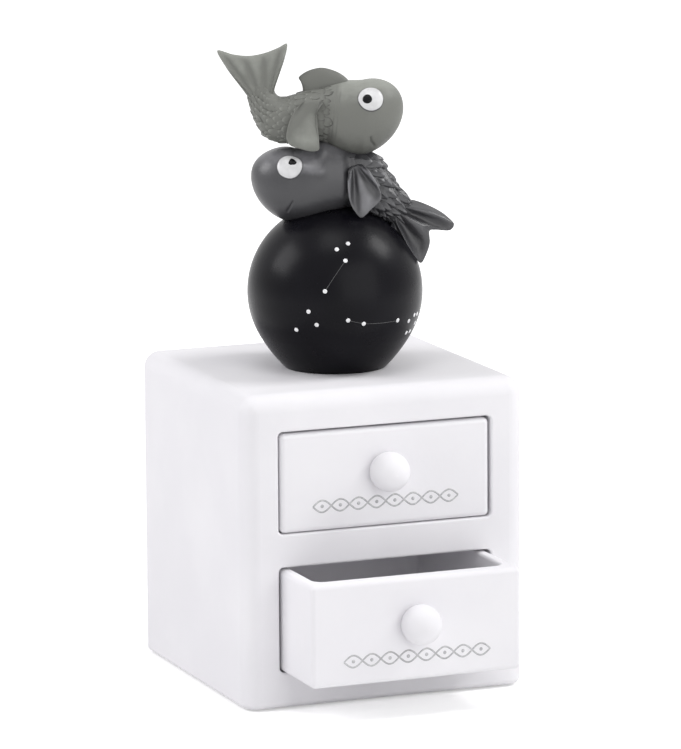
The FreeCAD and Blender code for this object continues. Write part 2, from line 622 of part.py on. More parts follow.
def make_upper_tail():
    """Makes the upper tail, which stands free."""
    bend = size("upper_bend_angle")
    return keep(make_tail("upper", bend_point(1.0), 90 - bend, 180 - bend), "upper_fish_tail_fin")


def bowed_edge(start, end, bow):
    """Makes the edge from start to end: a line, or an arc that bows to the left of the way by bow."""
    if bow == 0:
        return Part.LineSegment(start, end).toShape()
    way = end - start
    left = Vector(-way.z, 0, way.x).normalize()
    return Part.Arc(start, (start + end) / 2 + left * bow, end).toShape()


def fin_plate(outline):
    """Makes a flat fin with rounded corners and edges; a corner has the bow of the edge that follows it."""
    corners = [Vector(across, 0, up) for across, up, bow in outline]
    edges = [bowed_edge(start, end, corner[2])
             for start, end, corner in zip(corners, corners[1:] + corners[:1], outline)]
    thickness = size("fin_thickness")
    face = Part.Face(Part.Wire(edges))
    face.translate(Vector(0, -thickness / 2, 0))
    plate = face.extrude(Vector(0, thickness, 0))
    plate = plate.makeFillet(size("fin_tip_radius"), [edge for edge in plate.Edges if runs_along(edge, 1)])
    rims = [edge for edge in plate.Edges if not runs_along(edge, 1)]
    return plate.makeFillet(size("fin_edge_radius"), rims)


# Side fins as shares of their length: across, up, bow of the edge to the next corner
UPPER_FIN = ((-0.29, -0.09, -0.05), (-0.44, -0.73, -0.04), (0.23, -0.93, 0.07), (0.31, 0.1, 0.0))
LOWER_FIN = ((-0.17, -0.02, 0.0), (-0.17, -0.48, -0.02), (0.07, -0.92, -0.02), (0.47, -0.55, -0.04),
             (0.17, 0.01, 0.0))
# Back fin: across as a share of its length, up and bow as shares of its height
BACK_FIN = ((0.5, 0.2, -0.42), (-0.51, 0.75, 0.14), (-0.43, -0.3, 0.0), (0.48, -0.3, 0.0))


def place_fin(name, plate, across, out, up, splay=0.0):
    """Puts a fin into its place on the figure, leaned outwards by splay degrees."""
    fin = doc.addObject("Part::Feature", name)
    fin.Shape = plate
    leaned = FreeCAD.Placement(Vector(across, out, up), FreeCAD.Rotation(Vector(1, 0, 0), splay))
    fin.Placement = globe.Placement.multiply(leaned)
    return fin


def make_side_fins(fish, outline, across, axis, labels, rests):
    """Makes a fish's two side fins, the near one first, each cut by what it is let into or lies on."""
    length = size(f"{fish}_fin_length")
    plate = fin_plate([(x * length, z * length, bow * length) for x, z, bow in outline])
    rise = size(f"{fish}_fin_rise")
    half_height = size(f"{fish}_gill_height") / 2
    flank = size(f"{fish}_gill_width") / 2 * math.sqrt(1 - (rise / half_height) ** 2)
    out = flank - size("fin_root_depth") + size("fin_thickness") / 2
    for side, label in zip((-1, 1), labels):
        piece = place_fin(f"{label}_blank", plate, across, side * out, axis + rise,
                          side * size(f"{fish}_fin_splay"))
        for rest in rests:
            piece = cut(f"{label}_{rest.Name}", piece, rest)
        keep(piece, label)


def make_lower_side_fins(castings):
    """Makes the lower fish's side fins, whose tips reach down to the globe."""
    bearing = math.radians(size("lower_fin_bearing"))
    radius = worked_out(saddle_radius(1.0))
    make_side_fins("lower", LOWER_FIN, radius * math.cos(bearing), radius * math.sin(bearing),
                   ("lower_fish_left_fin", "lower_fish_right_fin"), (*castings, globe))


def make_upper_side_fins(castings):
    """Makes the upper fish's side fins, which hang over the lower fish."""
    across = size("upper_head_reach") - size("upper_fin_setback")
    make_side_fins("upper", UPPER_FIN, across, worked_out(UPPER_AXIS),
                   ("upper_fish_right_fin", "upper_fish_left_fin"), castings)


def make_back_fin(casting):
    """Makes the low swept fin along the upper fish's back."""
    length = size("back_fin_length")
    height = size("back_fin_height")
    plate = fin_plate([(across * length, up * height, bow * height) for across, up, bow in BACK_FIN])
    across = size("upper_head_reach") - size("back_fin_setback")
    root = worked_out(UPPER_AXIS) + size("upper_gill_height") / 2 - size("fin_root_depth")
    fin = place_fin("back_fin_blank", plate, across, 0, root)
    return keep(cut("upper_fish_back_fin", fin, casting), "upper_fish_back_fin")


def make_eyes(fish, facing, across, up, casting):
    """Makes a fish's two domed eyes, let into the sides of its head."""
    forward, upright = head_axes(fish, facing)
    half_height = size(f"{fish}_head_height") / 2
    half_width = size(f"{fish}_head_width") / 2
    nose = size(f"{fish}_nose_length")
    ahead = size("eye_forward")
    ring = math.sqrt(1 - (ahead / nose) ** 2)
    outwards = ring * math.cos(math.radians(size("eye_angle")))
    upwards = ring * math.sin(math.radians(size("eye_angle")))
    eyes = []
    for name, side in (("near", Vector(0, -1, 0)), ("far", Vector(0, 1, 0))):
        skin = forward * ahead + side * (half_width * outwards) + upright * (half_height * upwards)
        normal = forward * (ahead / nose ** 2) + side * (outwards / half_width)
        normal = (normal + upright * (upwards / half_height)).normalize()
        eye = doc.addObject("Part::Ellipsoid", f"{fish}_{name}_eye")
        eye.Angle1 = -90
        eye.Angle2 = 90
        eye.Angle3 = 360
        bind(eye, Radius1="Sizes.eye_dome", Radius2="Sizes.eye_radius", Radius3="Sizes.eye_radius")
        centre = Vector(across, 0, up) + skin - normal * size("eye_sink")
        eye.Placement = FreeCAD.Placement(centre, FreeCAD.Rotation(Vector(0, 0, 1), normal))
        eyes.append(eye)
    pair = doc.addObject("Part::Compound", f"{fish}_eye_pair")
    pair.Links = eyes
    place_figure(pair)
    doc.recompute()
    return keep(cut(f"{fish}_fish_eyes", pair, casting), f"{fish}_fish_eyes")


def make_lower_eyes(casting):
    """Makes the lower fish's eyes."""
    reach = worked_out(LOWER_REACH)
    bearing = math.radians(size("lower_head_bearing"))
    make_eyes("lower", -1, reach * math.cos(bearing), reach * math.sin(bearing), casting)


def make_upper_eyes(casting):
    """Makes the upper fish's eyes."""
    make_eyes("upper", 1, size("upper_head_reach"), worked_out(UPPER_UP), casting)


def write_steps():
    """Checks every object and writes each finished piece to its own file."""
    doc.recompute()
    for item in doc.Objects:
        if {"Invalid", "Error"} & set(item.State):
            raise RuntimeError(f"{item.Name} failed: {item.State}")
    for item in nodes:
        if item.Shape.isNull() or not item.Shape.isValid():
            raise RuntimeError(f"{item.Label} has no valid shape")
    os.makedirs("parts", exist_ok=True)
    for item in nodes:
        item.Shape.exportStep(f"parts/{item.Label}.step")
        print(f"{item.Label}: {len(item.Shape.Solids)} solid(s), {item.Shape.Volume:.1f} mm3")


fill_sheet()
make_cabinet()
make_felt()
drawers = (("upper_drawer", UPPER_BAY, UPPER_DRAWER_HEIGHT, "0"),
           ("lower_drawer", LOWER_BAY, LOWER_DRAWER_HEIGHT, "Sizes.lower_drawer_pull"))
for drawer_label, drawer_floor, drawer_height, drawer_pull in drawers:
    make_drawer(drawer_label, drawer_floor, drawer_height, drawer_pull)
    make_knob(f"{drawer_label}_knob", drawer_floor, drawer_height, drawer_pull)
globe = make_globe()
lower_casting = make_lower_body()
upper_casting = make_upper_body(lower_casting)
make_lower_tail()
make_lower_side_fins((lower_casting, upper_casting))
make_lower_eyes(lower_casting)
make_upper_tail()
make_upper_side_fins((upper_casting, lower_casting))
make_back_fin(upper_casting)
make_upper_eyes(upper_casting)
write_steps()
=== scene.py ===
"""Dresses the keepsake tooth box: painted casting, night globe, two sculpted fish and studio light.

The fish, their fins and the stars are drawn in the figure's own frame: millimetres from the globe's
centre, u to the figure's right, v away from the viewer and w up. Finished meshes are in metres, in
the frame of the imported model.
"""
import logging
import math
from dataclasses import dataclass, replace
from enum import Enum
from typing import Any, Callable, Dict, List, Optional, Sequence, Tuple, Union

import bmesh
import bpy
import numpy as np
from mathutils import Matrix, Vector
from mathutils.bvhtree import BVHTree


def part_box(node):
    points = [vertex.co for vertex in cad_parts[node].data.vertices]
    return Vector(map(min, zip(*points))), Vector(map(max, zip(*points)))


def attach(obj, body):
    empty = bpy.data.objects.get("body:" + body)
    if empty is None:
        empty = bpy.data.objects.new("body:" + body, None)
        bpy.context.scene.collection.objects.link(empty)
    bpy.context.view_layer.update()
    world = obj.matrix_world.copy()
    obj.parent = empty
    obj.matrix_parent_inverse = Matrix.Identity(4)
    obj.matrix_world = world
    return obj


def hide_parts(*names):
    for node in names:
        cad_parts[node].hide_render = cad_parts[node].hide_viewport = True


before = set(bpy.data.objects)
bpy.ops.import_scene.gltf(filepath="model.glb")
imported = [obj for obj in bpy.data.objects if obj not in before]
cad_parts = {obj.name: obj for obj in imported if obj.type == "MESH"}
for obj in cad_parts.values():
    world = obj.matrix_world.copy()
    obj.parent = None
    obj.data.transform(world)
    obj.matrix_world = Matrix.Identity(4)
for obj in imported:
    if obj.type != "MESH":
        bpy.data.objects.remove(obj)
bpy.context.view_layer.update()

LOG = logging.getLogger("tooth_box")
MM = 0.001
PHOTO_WIDTH = 681
PHOTO_HEIGHT = 749
SEED = 7
# Points nearer than this are merged, and edges shorter than the second are dissolved, in metres
MERGE_DISTANCE = 1e-7
FLAT_EDGE = 1e-8
# Least length that anything is divided by
TINY = 1e-9
# Height of brush marks in paint, in metres
BRUSH_DEPTH = 0.00002

Point2 = Tuple[float, float]
Span = Tuple[float, float]
Colour = Tuple[float, float, float]
Faces = List[Tuple[int, ...]]


class Body(Enum):
    """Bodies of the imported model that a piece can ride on."""

    CABINET = "cabinet"
    UPPER_DRAWER = "upper_drawer"
    LOWER_DRAWER = "lower_drawer"


class Slot(Enum):
    """Material slots of the record, one given with each piece."""

    NIGHT = "night_black"
    DARK_FISH = "dark_fish"
    LIGHT_FISH = "light_fish"
    EYE = "eye_white"
    FELT = "felt"


class Facing(Enum):
    """Way that a fish looks along u."""

    RIGHT = 1
    LEFT = -1


# Node trees

def operator(operation: str, reflected: bool = False) -> Callable[..., "Sock"]:
    """Makes a method of sockets that adds one Math node.

    Args:
        operation: what the node works out.
        reflected: whether the socket is the second value.

    Returns:
        The method, which takes the other value where there is one.
    """
    def apply(sock: "Sock", other: Any = 0.0) -> "Sock":
        """Adds the node."""
        first, second = (other, sock) if reflected else (sock, other)
        return sock.tree.node("ShaderNodeMath", {"operation": operation}, {0: first, 1: second})

    return apply


class Sock:
    """An output socket on which Python operators add Math nodes."""

    __add__ = __radd__ = operator("ADD")
    __mul__ = __rmul__ = operator("MULTIPLY")
    __sub__ = operator("SUBTRACT")
    __rsub__ = operator("SUBTRACT", reflected=True)
    __truediv__ = operator("DIVIDE")
    __rtruediv__ = operator("DIVIDE", reflected=True)
    __mod__ = operator("MODULO")
    __rmod__ = operator("MODULO", reflected=True)
    rounded = operator("ROUND")
    fraction = operator("FRACT")
    sine = operator("SINE")
    at_least = operator("MAXIMUM")

    def __init__(self, tree: "Tree", socket: bpy.types.NodeSocket) -> None:
        """Wraps one socket of a tree."""
        self.tree = tree
        self.socket = socket

    def ramp(self, low: float, high: float) -> "Sock":
        """Smooth step from 0 at low to 1 at high."""
        settings = {"interpolation_type": "SMOOTHSTEP"}
        return self.tree.node("ShaderNodeMapRange", settings, {0: self, 1: low, 2: high, 3: 0.0, 4: 1.0})

    def around(self, level: float, spread: float) -> "Sock":
        """Turns noise from 0 to 1 into numbers round a level, spread in all."""
        return self * spread + (level - spread / 2)


class Tree:
    """Builds one node tree, of a shader or of geometry."""

    def __init__(self, tree: bpy.types.NodeTree) -> None:
        """Empties the tree."""
        self.tree = tree
        self.tree.nodes.clear()

    def node(self, kind: str, settings: Optional[Dict[str, Any]] = None,
             inputs: Optional[Dict[Union[int, str], Any]] = None,
             output: Union[int, str] = 0) -> Optional[Sock]:
        """Adds one node.

        Args:
            kind: the node's type.
            settings: its properties, set first.
            inputs: values or links of its sockets, by name or number.
            output: the socket that is handed back.

        Returns:
            The wrapped output, or nothing where the node has none.
        """
        made = self.tree.nodes.new(kind)
        for name, value in (settings or {}).items():
            setattr(made, name, value)
        for key, value in (inputs or {}).items():
            self.feed(made.inputs[key], value)
        return Sock(self, made.outputs[output]) if len(made.outputs) else None

    def feed(self, socket: bpy.types.NodeSocket, value: Any) -> None:
        """Links a wrapped socket to an input, or sets the input's value."""
        if isinstance(value, Sock):
            self.tree.links.new(value.socket, socket)
        else:
            socket.default_value = value


class ShaderTree(Tree):
    """A material's nodes."""

    def __init__(self, name: str) -> None:
        """Starts a new material of that name."""
        self.material = bpy.data.materials.new(name)
        self.material.use_nodes = True
        super().__init__(self.material.node_tree)
        self.place = self.node("ShaderNodeTexCoord", output="Object")

    def noise(self, scale: float, detail: float = 3.0, roughness: float = 0.5,
              stretch: Tuple[float, float, float] = (1.0, 1.0, 1.0)) -> Sock:
        """Noise in object space.

        Args:
            scale: waves per metre.
            detail: octaves.
            roughness: weight of the finer octaves.
            stretch: scale along each axis.

        Returns:
            The noise, from 0 to 1.
        """
        moved = self.node("ShaderNodeMapping", None, {"Vector": self.place, "Scale": stretch})
        return self.node("ShaderNodeTexNoise", {"noise_dimensions": "3D"},
                         {"Vector": moved, "Scale": scale, "Detail": detail, "Roughness": roughness})

    def attribute(self, name: str) -> Sock:
        """Reads a number stored on the mesh."""
        return self.node("ShaderNodeAttribute", {"attribute_name": name}, output="Fac")

    def mix(self, factor: Any, first: Any, second: Any) -> Sock:
        """Mixes two colours."""
        pair = [(*side, 1.0) if isinstance(side, tuple) else side for side in (first, second)]
        return self.node("ShaderNodeMix", {"data_type": "RGBA"}, {0: factor, 6: pair[0], 7: pair[1]}, 2)

    def bump(self, height: Sock, depth: float = BRUSH_DEPTH) -> Sock:
        """Raises the surface by height times depth, in metres."""
        return self.node("ShaderNodeBump", None, {"Strength": 1.0, "Distance": depth, "Height": height})

    def surface(self, **inputs: Any) -> bpy.types.Material:
        """Closes the tree with one principled shader, keywords in place of its socket names.

        Args:
            inputs: socket values or links; an underscore stands for a space.

        Returns:
            The finished material.
        """
        named = {name.replace("_", " "): value for name, value in inputs.items()}
        named = {name: (*value, 1.0) if isinstance(value, tuple) else value for name, value in named.items()}
        shader = self.node("ShaderNodeBsdfPrincipled", None, named)
        self.node("ShaderNodeOutputMaterial", None, {"Surface": shader})
        return self.material


class GeometryTree(Tree):
    """A Geometry Nodes tree with named inputs."""

    KINDS = {int: "NodeSocketInt", float: "NodeSocketFloat", tuple: "NodeSocketVector",
             bpy.types.Object: "NodeSocketObject", bpy.types.Material: "NodeSocketMaterial"}

    def __init__(self, name: str, **values: Any) -> None:
        """Starts a tree.

        Args:
            name: the tree's name.
            values: its inputs; an underscore in a keyword stands for a space.
        """
        super().__init__(bpy.data.node_groups.new(name, "GeometryNodeTree"))
        self.values = {key.replace("_", " "): value for key, value in values.items()}
        face = self.tree.interface
        face.new_socket("Geometry", in_out="INPUT", socket_type="NodeSocketGeometry")
        face.new_socket("Geometry", in_out="OUTPUT", socket_type="NodeSocketGeometry")
        for key, value in self.values.items():
            face.new_socket(key, in_out="INPUT", socket_type=self.KINDS[type(value)])
        self.entry = self.tree.nodes.new("NodeGroupInput")

    def given(self, name: str) -> Sock:
        """One of the tree's inputs."""
        return Sock(self, self.entry.outputs[name])

    def random(self, spread: Any, lane: int) -> Sock:
        """Random number within plus or minus spread, from its own lane of the seed."""
        settings = {"data_type": "FLOAT"}
        return self.node("FunctionNodeRandomValue", settings,
                         {2: spread * -1.0, 3: spread, 8: self.given("Seed") + lane}, 1)

    def vector(self, operation: str, first: Any, second: Any = (0.0, 0.0, 0.0)) -> Sock:
        """Adds one Vector Math node."""
        return self.node("ShaderNodeVectorMath", {"operation": operation}, {0: first, 1: second})

    def xyz(self, x: Any = 0.0, y: Any = 0.0, z: Any = 0.0) -> Sock:
        """Makes a vector of three numbers."""
        return self.node("ShaderNodeCombineXYZ", None, {"X": x, "Y": y, "Z": z})

    def part(self, vector: Sock, axis: str) -> Sock:
        """One of a vector's three numbers."""
        return self.node("ShaderNodeSeparateXYZ", None, {0: vector}, axis)

    def from_centre(self) -> Sock:
        """Way from the tree's Centre to each point."""
        return self.vector("SUBTRACT", self.node("GeometryNodeInputPosition"), self.given("Centre"))

    def upright(self, way: Sock) -> Sock:
        """Rotation that turns Z to point that way."""
        return self.node("FunctionNodeAlignRotationToVector", {"axis": "Z"}, {"Vector": way})

    def resampled(self, curve: Sock) -> Sock:
        """Gives a curve as many points as the tree's Steps."""
        return self.node("GeometryNodeResampleCurve", None, {"Curve": curve, "Count": self.given("Steps")})

    def shifted(self, geometry: Sock, way: Sock) -> Sock:
        """Moves geometry as a whole."""
        return self.node("GeometryNodeTransform", None, {"Geometry": geometry, "Translation": way})

    def ball(self, radius: Sock, segments: int = 14, rings: int = 8) -> Sock:
        """A small ball."""
        return self.node("GeometryNodeMeshUVSphere", None,
                         {"Segments": segments, "Rings": rings, "Radius": radius}, "Mesh")

    def tube(self, curve: Sock, radius: Sock, corners: int = 8) -> Sock:
        """Gives a curve a round section with closed ends."""
        ring = self.node("GeometryNodeCurvePrimitiveCircle", None,
                         {"Resolution": corners, "Radius": radius}, "Curve")
        return self.node("GeometryNodeCurveToMesh", None,
                         {"Curve": curve, "Profile Curve": ring, "Fill Caps": True})

    def close(self, geometry: Sock) -> None:
        """Ends the tree in realised, dressed geometry."""
        real = self.node("GeometryNodeRealizeInstances", None, {"Geometry": geometry})
        dressed = self.node("GeometryNodeSetMaterial", None,
                            {"Geometry": real, "Material": self.given("Material")})
        self.node("NodeGroupOutput", None, {"Geometry": dressed})

    def run(self, base: bpy.types.Mesh, name: str) -> bpy.types.Mesh:
        """Runs the tree on a mesh.

        Args:
            base: what the tree reads.
            name: name of the result.

        Returns:
            The result as a plain mesh.
        """
        carrier = link_new(f"{name}_carrier", base)
        modifier = carrier.modifiers.new("nodes", "NODES")
        modifier.node_group = self.tree
        for item in self.tree.interface.items_tree:
            if item.in_out == "INPUT" and item.name in self.values:
                modifier[item.identifier] = self.values[item.name]
        graph = bpy.context.evaluated_depsgraph_get()
        made = bpy.data.meshes.new_from_object(carrier.evaluated_get(graph))
        made.name = name
        carrier.modifiers.remove(modifier)
        bpy.data.objects.remove(carrier)
        return made


# Finishes, each with the spans of noise between which one colour gives way to the other

@dataclass(frozen=True)
class CastPaint:
    """Satin paint over cast resin: faint clouding, soft orange peel and rubbed sheen."""

    name: str = "white_casting_paint"
    colour: Colour = (0.86, 0.85, 0.872)
    shade: Colour = (0.82, 0.81, 0.836)
    clouds: Span = (0.32, 0.72)
    roughness: float = 0.56
    rubbing: float = 0.14
    gloss: float = 0.2
    peel_depth: float = 0.00003
    peel_share: float = 0.6

    def material(self) -> bpy.types.Material:
        """Makes the material."""
        tree = ShaderTree(self.name)
        cloud = tree.noise(scale=38.0, detail=4.0).ramp(*self.clouds)
        peel = tree.noise(scale=900.0, detail=2.0)
        hand = tree.noise(scale=120.0, detail=2.0)
        rubbed = tree.noise(scale=160.0)
        return tree.surface(Base_Color=tree.mix(cloud, self.shade, self.colour),
                            Roughness=rubbed.around(self.roughness, self.rubbing),
                            Specular_IOR_Level=self.gloss,
                            Normal=tree.bump(peel * self.peel_share + hand, self.peel_depth))


@dataclass(frozen=True)
class NightPaint:
    """Matte near-black paint with a breath of blue and rubbed patches."""

    name: str = "night_globe_paint"
    colour: Colour = (0.0028, 0.0026, 0.0042)
    cast: Colour = (0.005, 0.0047, 0.007)
    clouds: Span = (0.3, 0.75)
    roughness: float = 0.29
    rubbing: float = 0.12
    gloss: float = 0.11
    grain_depth: float = 0.000012

    def material(self) -> bpy.types.Material:
        """Makes the material."""
        tree = ShaderTree(self.name)
        cloud = tree.noise(scale=90.0, detail=4.0).ramp(*self.clouds)
        grain = tree.noise(scale=1500.0, detail=2.0)
        rubbed = tree.noise(scale=220.0)
        return tree.surface(Base_Color=tree.mix(cloud, self.colour, self.cast),
                            Roughness=rubbed.around(self.roughness, self.rubbing),
                            Specular_IOR_Level=self.gloss, Normal=tree.bump(grain, self.grain_depth))


@dataclass(frozen=True)
class FishPaint:
    """Matte paint that follows a stored tone: darker in the hollows as painted shade, lighter on the tips as
    painted highlight and rubbed wear.
    """

    name: str
    hollow: Colour
    colour: Colour
    tip: Colour
    painted_shade: Span = (0.05, 0.5)
    highlight_and_wear: Span = (0.68, 1.02)
    mottling: float = 0.22
    mottle_share: float = 2.0
    roughness: float = 0.52
    rubbing: float = 0.16
    gloss: float = 0.36
    TONE_AND_SHADING = "relief"

    def material(self) -> bpy.types.Material:
        """Makes the material."""
        tree = ShaderTree(self.name)
        mottle = tree.noise(scale=420.0, detail=4.0, roughness=0.6)
        relief = tree.attribute(self.TONE_AND_SHADING) + (mottle - 0.5) * self.mottling
        # Hollow colour where the stored tone is low, as painted shade
        shaded = tree.mix(relief.ramp(*self.painted_shade), self.hollow, self.colour)
        # Tip colour where the stored tone is high, as painted highlight and rubbed wear
        rubbed = tree.mix(relief.ramp(*self.highlight_and_wear), shaded, self.tip)
        grain = tree.noise(scale=2200.0, detail=2.0)
        return tree.surface(Base_Color=rubbed, Roughness=mottle.around(self.roughness, self.rubbing),
                            Specular_IOR_Level=self.gloss,
                            Normal=tree.bump(grain + mottle * self.mottle_share))


@dataclass(frozen=True)
class RingedPaint:
    """Gloss paint with a dark brushed rim; the mesh stores how far a point lies from its middle."""

    name: str
    colour: Colour
    rim: Colour
    start: float
    blur: float = 0.06
    waver: float = 0.05
    clouds: Span = (0.35, 0.7)
    cloud_depth: float = 0.12
    roughness: float = 0.3
    rubbing: float = 0.12
    gloss: float = 0.5
    REACH = "reach"

    def material(self) -> bpy.types.Material:
        """Makes the material."""
        tree = ShaderTree(self.name)
        wobble = tree.noise(scale=800.0, detail=2.0)
        reach = tree.attribute(self.REACH) + (wobble - 0.5) * self.waver
        edge = reach.ramp(self.start, self.start + self.blur)
        cloud = tree.noise(scale=600.0).ramp(*self.clouds) * self.cloud_depth
        clouded = tree.mix(cloud, self.colour, self.rim)
        return tree.surface(Base_Color=tree.mix(edge, clouded, self.rim),
                            Roughness=wobble.around(self.roughness, self.rubbing),
                            Specular_IOR_Level=self.gloss, Normal=tree.bump(wobble))


@dataclass(frozen=True)
class BrushedPaint:
    """Thin paint put on with a fine brush: it covers unevenly and is a little raised."""

    name: str
    colour: Colour
    thin: Colour
    streaks: Span = (0.3, 0.62)
    roughness: float = 0.45
    rubbing: float = 0.14

    def material(self) -> bpy.types.Material:
        """Makes the material."""
        tree = ShaderTree(self.name)
        streak = tree.noise(scale=1400.0, roughness=0.6)
        return tree.surface(Base_Color=tree.mix(streak.ramp(*self.streaks), self.thin, self.colour),
                            Roughness=streak.around(self.roughness, self.rubbing), Normal=tree.bump(streak))


@dataclass(frozen=True)
class FeltFinish:
    """Pressed wool felt: matted fibres in two tones."""

    name: str = "pad_felt"
    colour: Colour = (0.6, 0.59, 0.585)
    shade: Colour = (0.44, 0.43, 0.43)
    tufts: Span = (0.35, 0.65)
    roughness: float = 0.95
    matting: float = 0.1
    sheen: float = 0.3
    fibre_depth: float = 0.00025

    def material(self) -> bpy.types.Material:
        """Makes the material."""
        tree = ShaderTree(self.name)
        across = tree.noise(scale=700.0, detail=5.0, roughness=0.7, stretch=(1.0, 3.0, 1.0))
        along = tree.noise(scale=900.0, detail=5.0, roughness=0.7, stretch=(3.0, 1.0, 1.0))
        matted = across * 0.5 + along * 0.5
        return tree.surface(Base_Color=tree.mix(matted.ramp(*self.tufts), self.shade, self.colour),
                            Roughness=self.roughness - matted * self.matting, Sheen_Weight=self.sheen,
                            Normal=tree.bump(matted, self.fibre_depth))


# Curves and meshes

def through(points: Sequence[Sequence[float]], places: np.ndarray) -> np.ndarray:
    """Reads a smooth curve through points.

    Args:
        points: the points, as many numbers each as wanted.
        places: where to read, from 0 at the first point to 1 at the last, by distance.

    Returns:
        One row for each place.
    """
    known = np.asarray(points, float)
    ends = np.vstack([2 * known[0] - known[1], known, 2 * known[-1] - known[-2]])
    steps = np.sqrt(np.maximum(np.linalg.norm(np.diff(ends, axis=0), axis=1), TINY))
    knots = np.concatenate([[0.0], np.cumsum(steps)])
    spread = knots[1] + np.clip(places, 0.0, 1.0) * (knots[-2] - knots[1])
    span = np.clip(np.searchsorted(knots, spread, side="right") - 1, 1, len(known) - 1)
    t0, t1, t2, t3 = (knots[span + shift][:, None] for shift in (-1, 0, 1, 2))
    p0, p1, p2, p3 = (ends[span + shift] for shift in (-1, 0, 1, 2))
    t = spread[:, None]
    a1 = p0 * (t1 - t) / (t1 - t0) + p1 * (t - t0) / (t1 - t0)
    a2 = p1 * (t2 - t) / (t2 - t1) + p2 * (t - t1) / (t2 - t1)
    a3 = p2 * (t3 - t) / (t3 - t2) + p3 * (t - t2) / (t3 - t2)
    b1 = a1 * (t2 - t) / (t2 - t0) + a2 * (t - t0) / (t2 - t0)
    b2 = a2 * (t3 - t) / (t3 - t1) + a3 * (t - t1) / (t3 - t1)
    return b1 * (t2 - t) / (t2 - t1) + b2 * (t - t1) / (t2 - t1)


def bell(distance: np.ndarray, width: float) -> np.ndarray:
    """Bell curve that is 1 at no distance and falls off over width."""
    return np.exp(-(distance / width) ** 2)


def step(values: np.ndarray, width: float) -> np.ndarray:
    """Soft step from 0 to 1 round zero."""
    return 0.5 + 0.5 * np.tanh(values / width)


def distance_to(line: Sequence[Point2], across: np.ndarray, up: np.ndarray) -> np.ndarray:
    """Gives how far points lie from a line of straight runs."""
    nearest = np.full(across.shape, np.inf)
    for (x0, y0), (x1, y1) in zip(line, line[1:]):
        dx, dy = x1 - x0, y1 - y0
        along = np.clip(((across - x0) * dx + (up - y0) * dy) / (dx * dx + dy * dy), 0.0, 1.0)
        nearest = np.minimum(nearest, np.hypot(across - x0 - along * dx, up - y0 - along * dy))
    return nearest


def grid_faces(rows: int, columns: int, wrap: bool) -> Faces:
    """Faces of a grid of points, row by row, joined round where it wraps."""
    last = columns if wrap else columns - 1
    return [(row * columns + column, row * columns + (column + 1) % columns,
             (row + 1) * columns + (column + 1) % columns, (row + 1) * columns + column)
            for row in range(rows - 1) for column in range(last)]


def twice(faces: Faces, count: int) -> Faces:
    """Faces of two equal meshes of count points each, one after the other."""
    return faces + [tuple(corner + count for corner in face) for face in faces]


def shell_faces(rows: int, columns: int, border: Sequence[int]) -> Faces:
    """Faces of two equal grids of points, one after the other, that are joined along a border."""
    count = rows * columns
    joints = [(a, b, b + count, a + count) for a, b in zip(border, border[1:])]
    return twice(grid_faces(rows, columns, False), count) + joints


def new_mesh(name: str, points: np.ndarray, faces: Faces, chart: Sequence[Point2] = (),
             **stored: np.ndarray) -> bpy.types.Mesh:
    """Makes a smooth mesh.

    Args:
        name: the mesh's name.
        points: its vertices, in metres.
        faces: its faces.
        chart: its UV map, if it has one: a place for each corner of each face, in order.
        stored: numbers or vectors to keep on its vertices, by attribute name.

    Returns:
        The mesh, merged, with faces outward.
    """
    mesh = bpy.data.meshes.new(name)
    mesh.from_pydata(points.tolist(), [], faces)
    if len(chart):
        mesh.uv_layers.new(name="UVMap").data.foreach_set("uv", np.asarray(chart, np.float32).ravel())
    for key, values in stored.items():
        kind, field = ("FLOAT", "value") if values.ndim == 1 else ("FLOAT_VECTOR", "vector")
        attribute = mesh.attributes.new(key, kind, "POINT")
        attribute.data.foreach_set(field, np.ascontiguousarray(values, np.float32).ravel())
    work = bmesh.new()
    work.from_mesh(mesh)
    bmesh.ops.remove_doubles(work, verts=work.verts, dist=MERGE_DISTANCE)
    bmesh.ops.dissolve_degenerate(work, edges=work.edges, dist=FLAT_EDGE)
    bmesh.ops.recalc_face_normals(work, faces=work.faces)
    for face in work.faces:
        face.smooth = True
    work.to_mesh(mesh)
    work.free()
    return mesh


def link_new(name: str, data: Any) -> bpy.types.Object:
    """Adds an object with that data to the scene."""
    made = bpy.data.objects.new(name, data)
    bpy.context.scene.collection.objects.link(made)
    return made


def add_piece(name: str, mesh: bpy.types.Mesh, finish: Optional[bpy.types.Material], body: Body, slot: Slot,
              *stands_for: str) -> bpy.types.Object:
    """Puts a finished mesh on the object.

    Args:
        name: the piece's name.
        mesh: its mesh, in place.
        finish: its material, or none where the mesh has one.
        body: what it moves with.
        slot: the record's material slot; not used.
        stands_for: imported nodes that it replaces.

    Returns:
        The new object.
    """
    piece = link_new(name, mesh)
    if finish is not None:
        mesh.materials.clear()
        mesh.materials.append(finish)
    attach(piece, body.value)
    if stands_for:
        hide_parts(*stands_for)
    LOG.info("%s: %d faces on %s", name, len(mesh.polygons), body.value)
    return piece


def finish_node(name: str, finish: bpy.types.Material) -> None:
    """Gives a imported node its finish."""
    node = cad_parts[name]
    node.data.materials.clear()
    node.data.materials.append(finish)
    LOG.info("%s: packed node, %s", name, finish.name)


# Figure

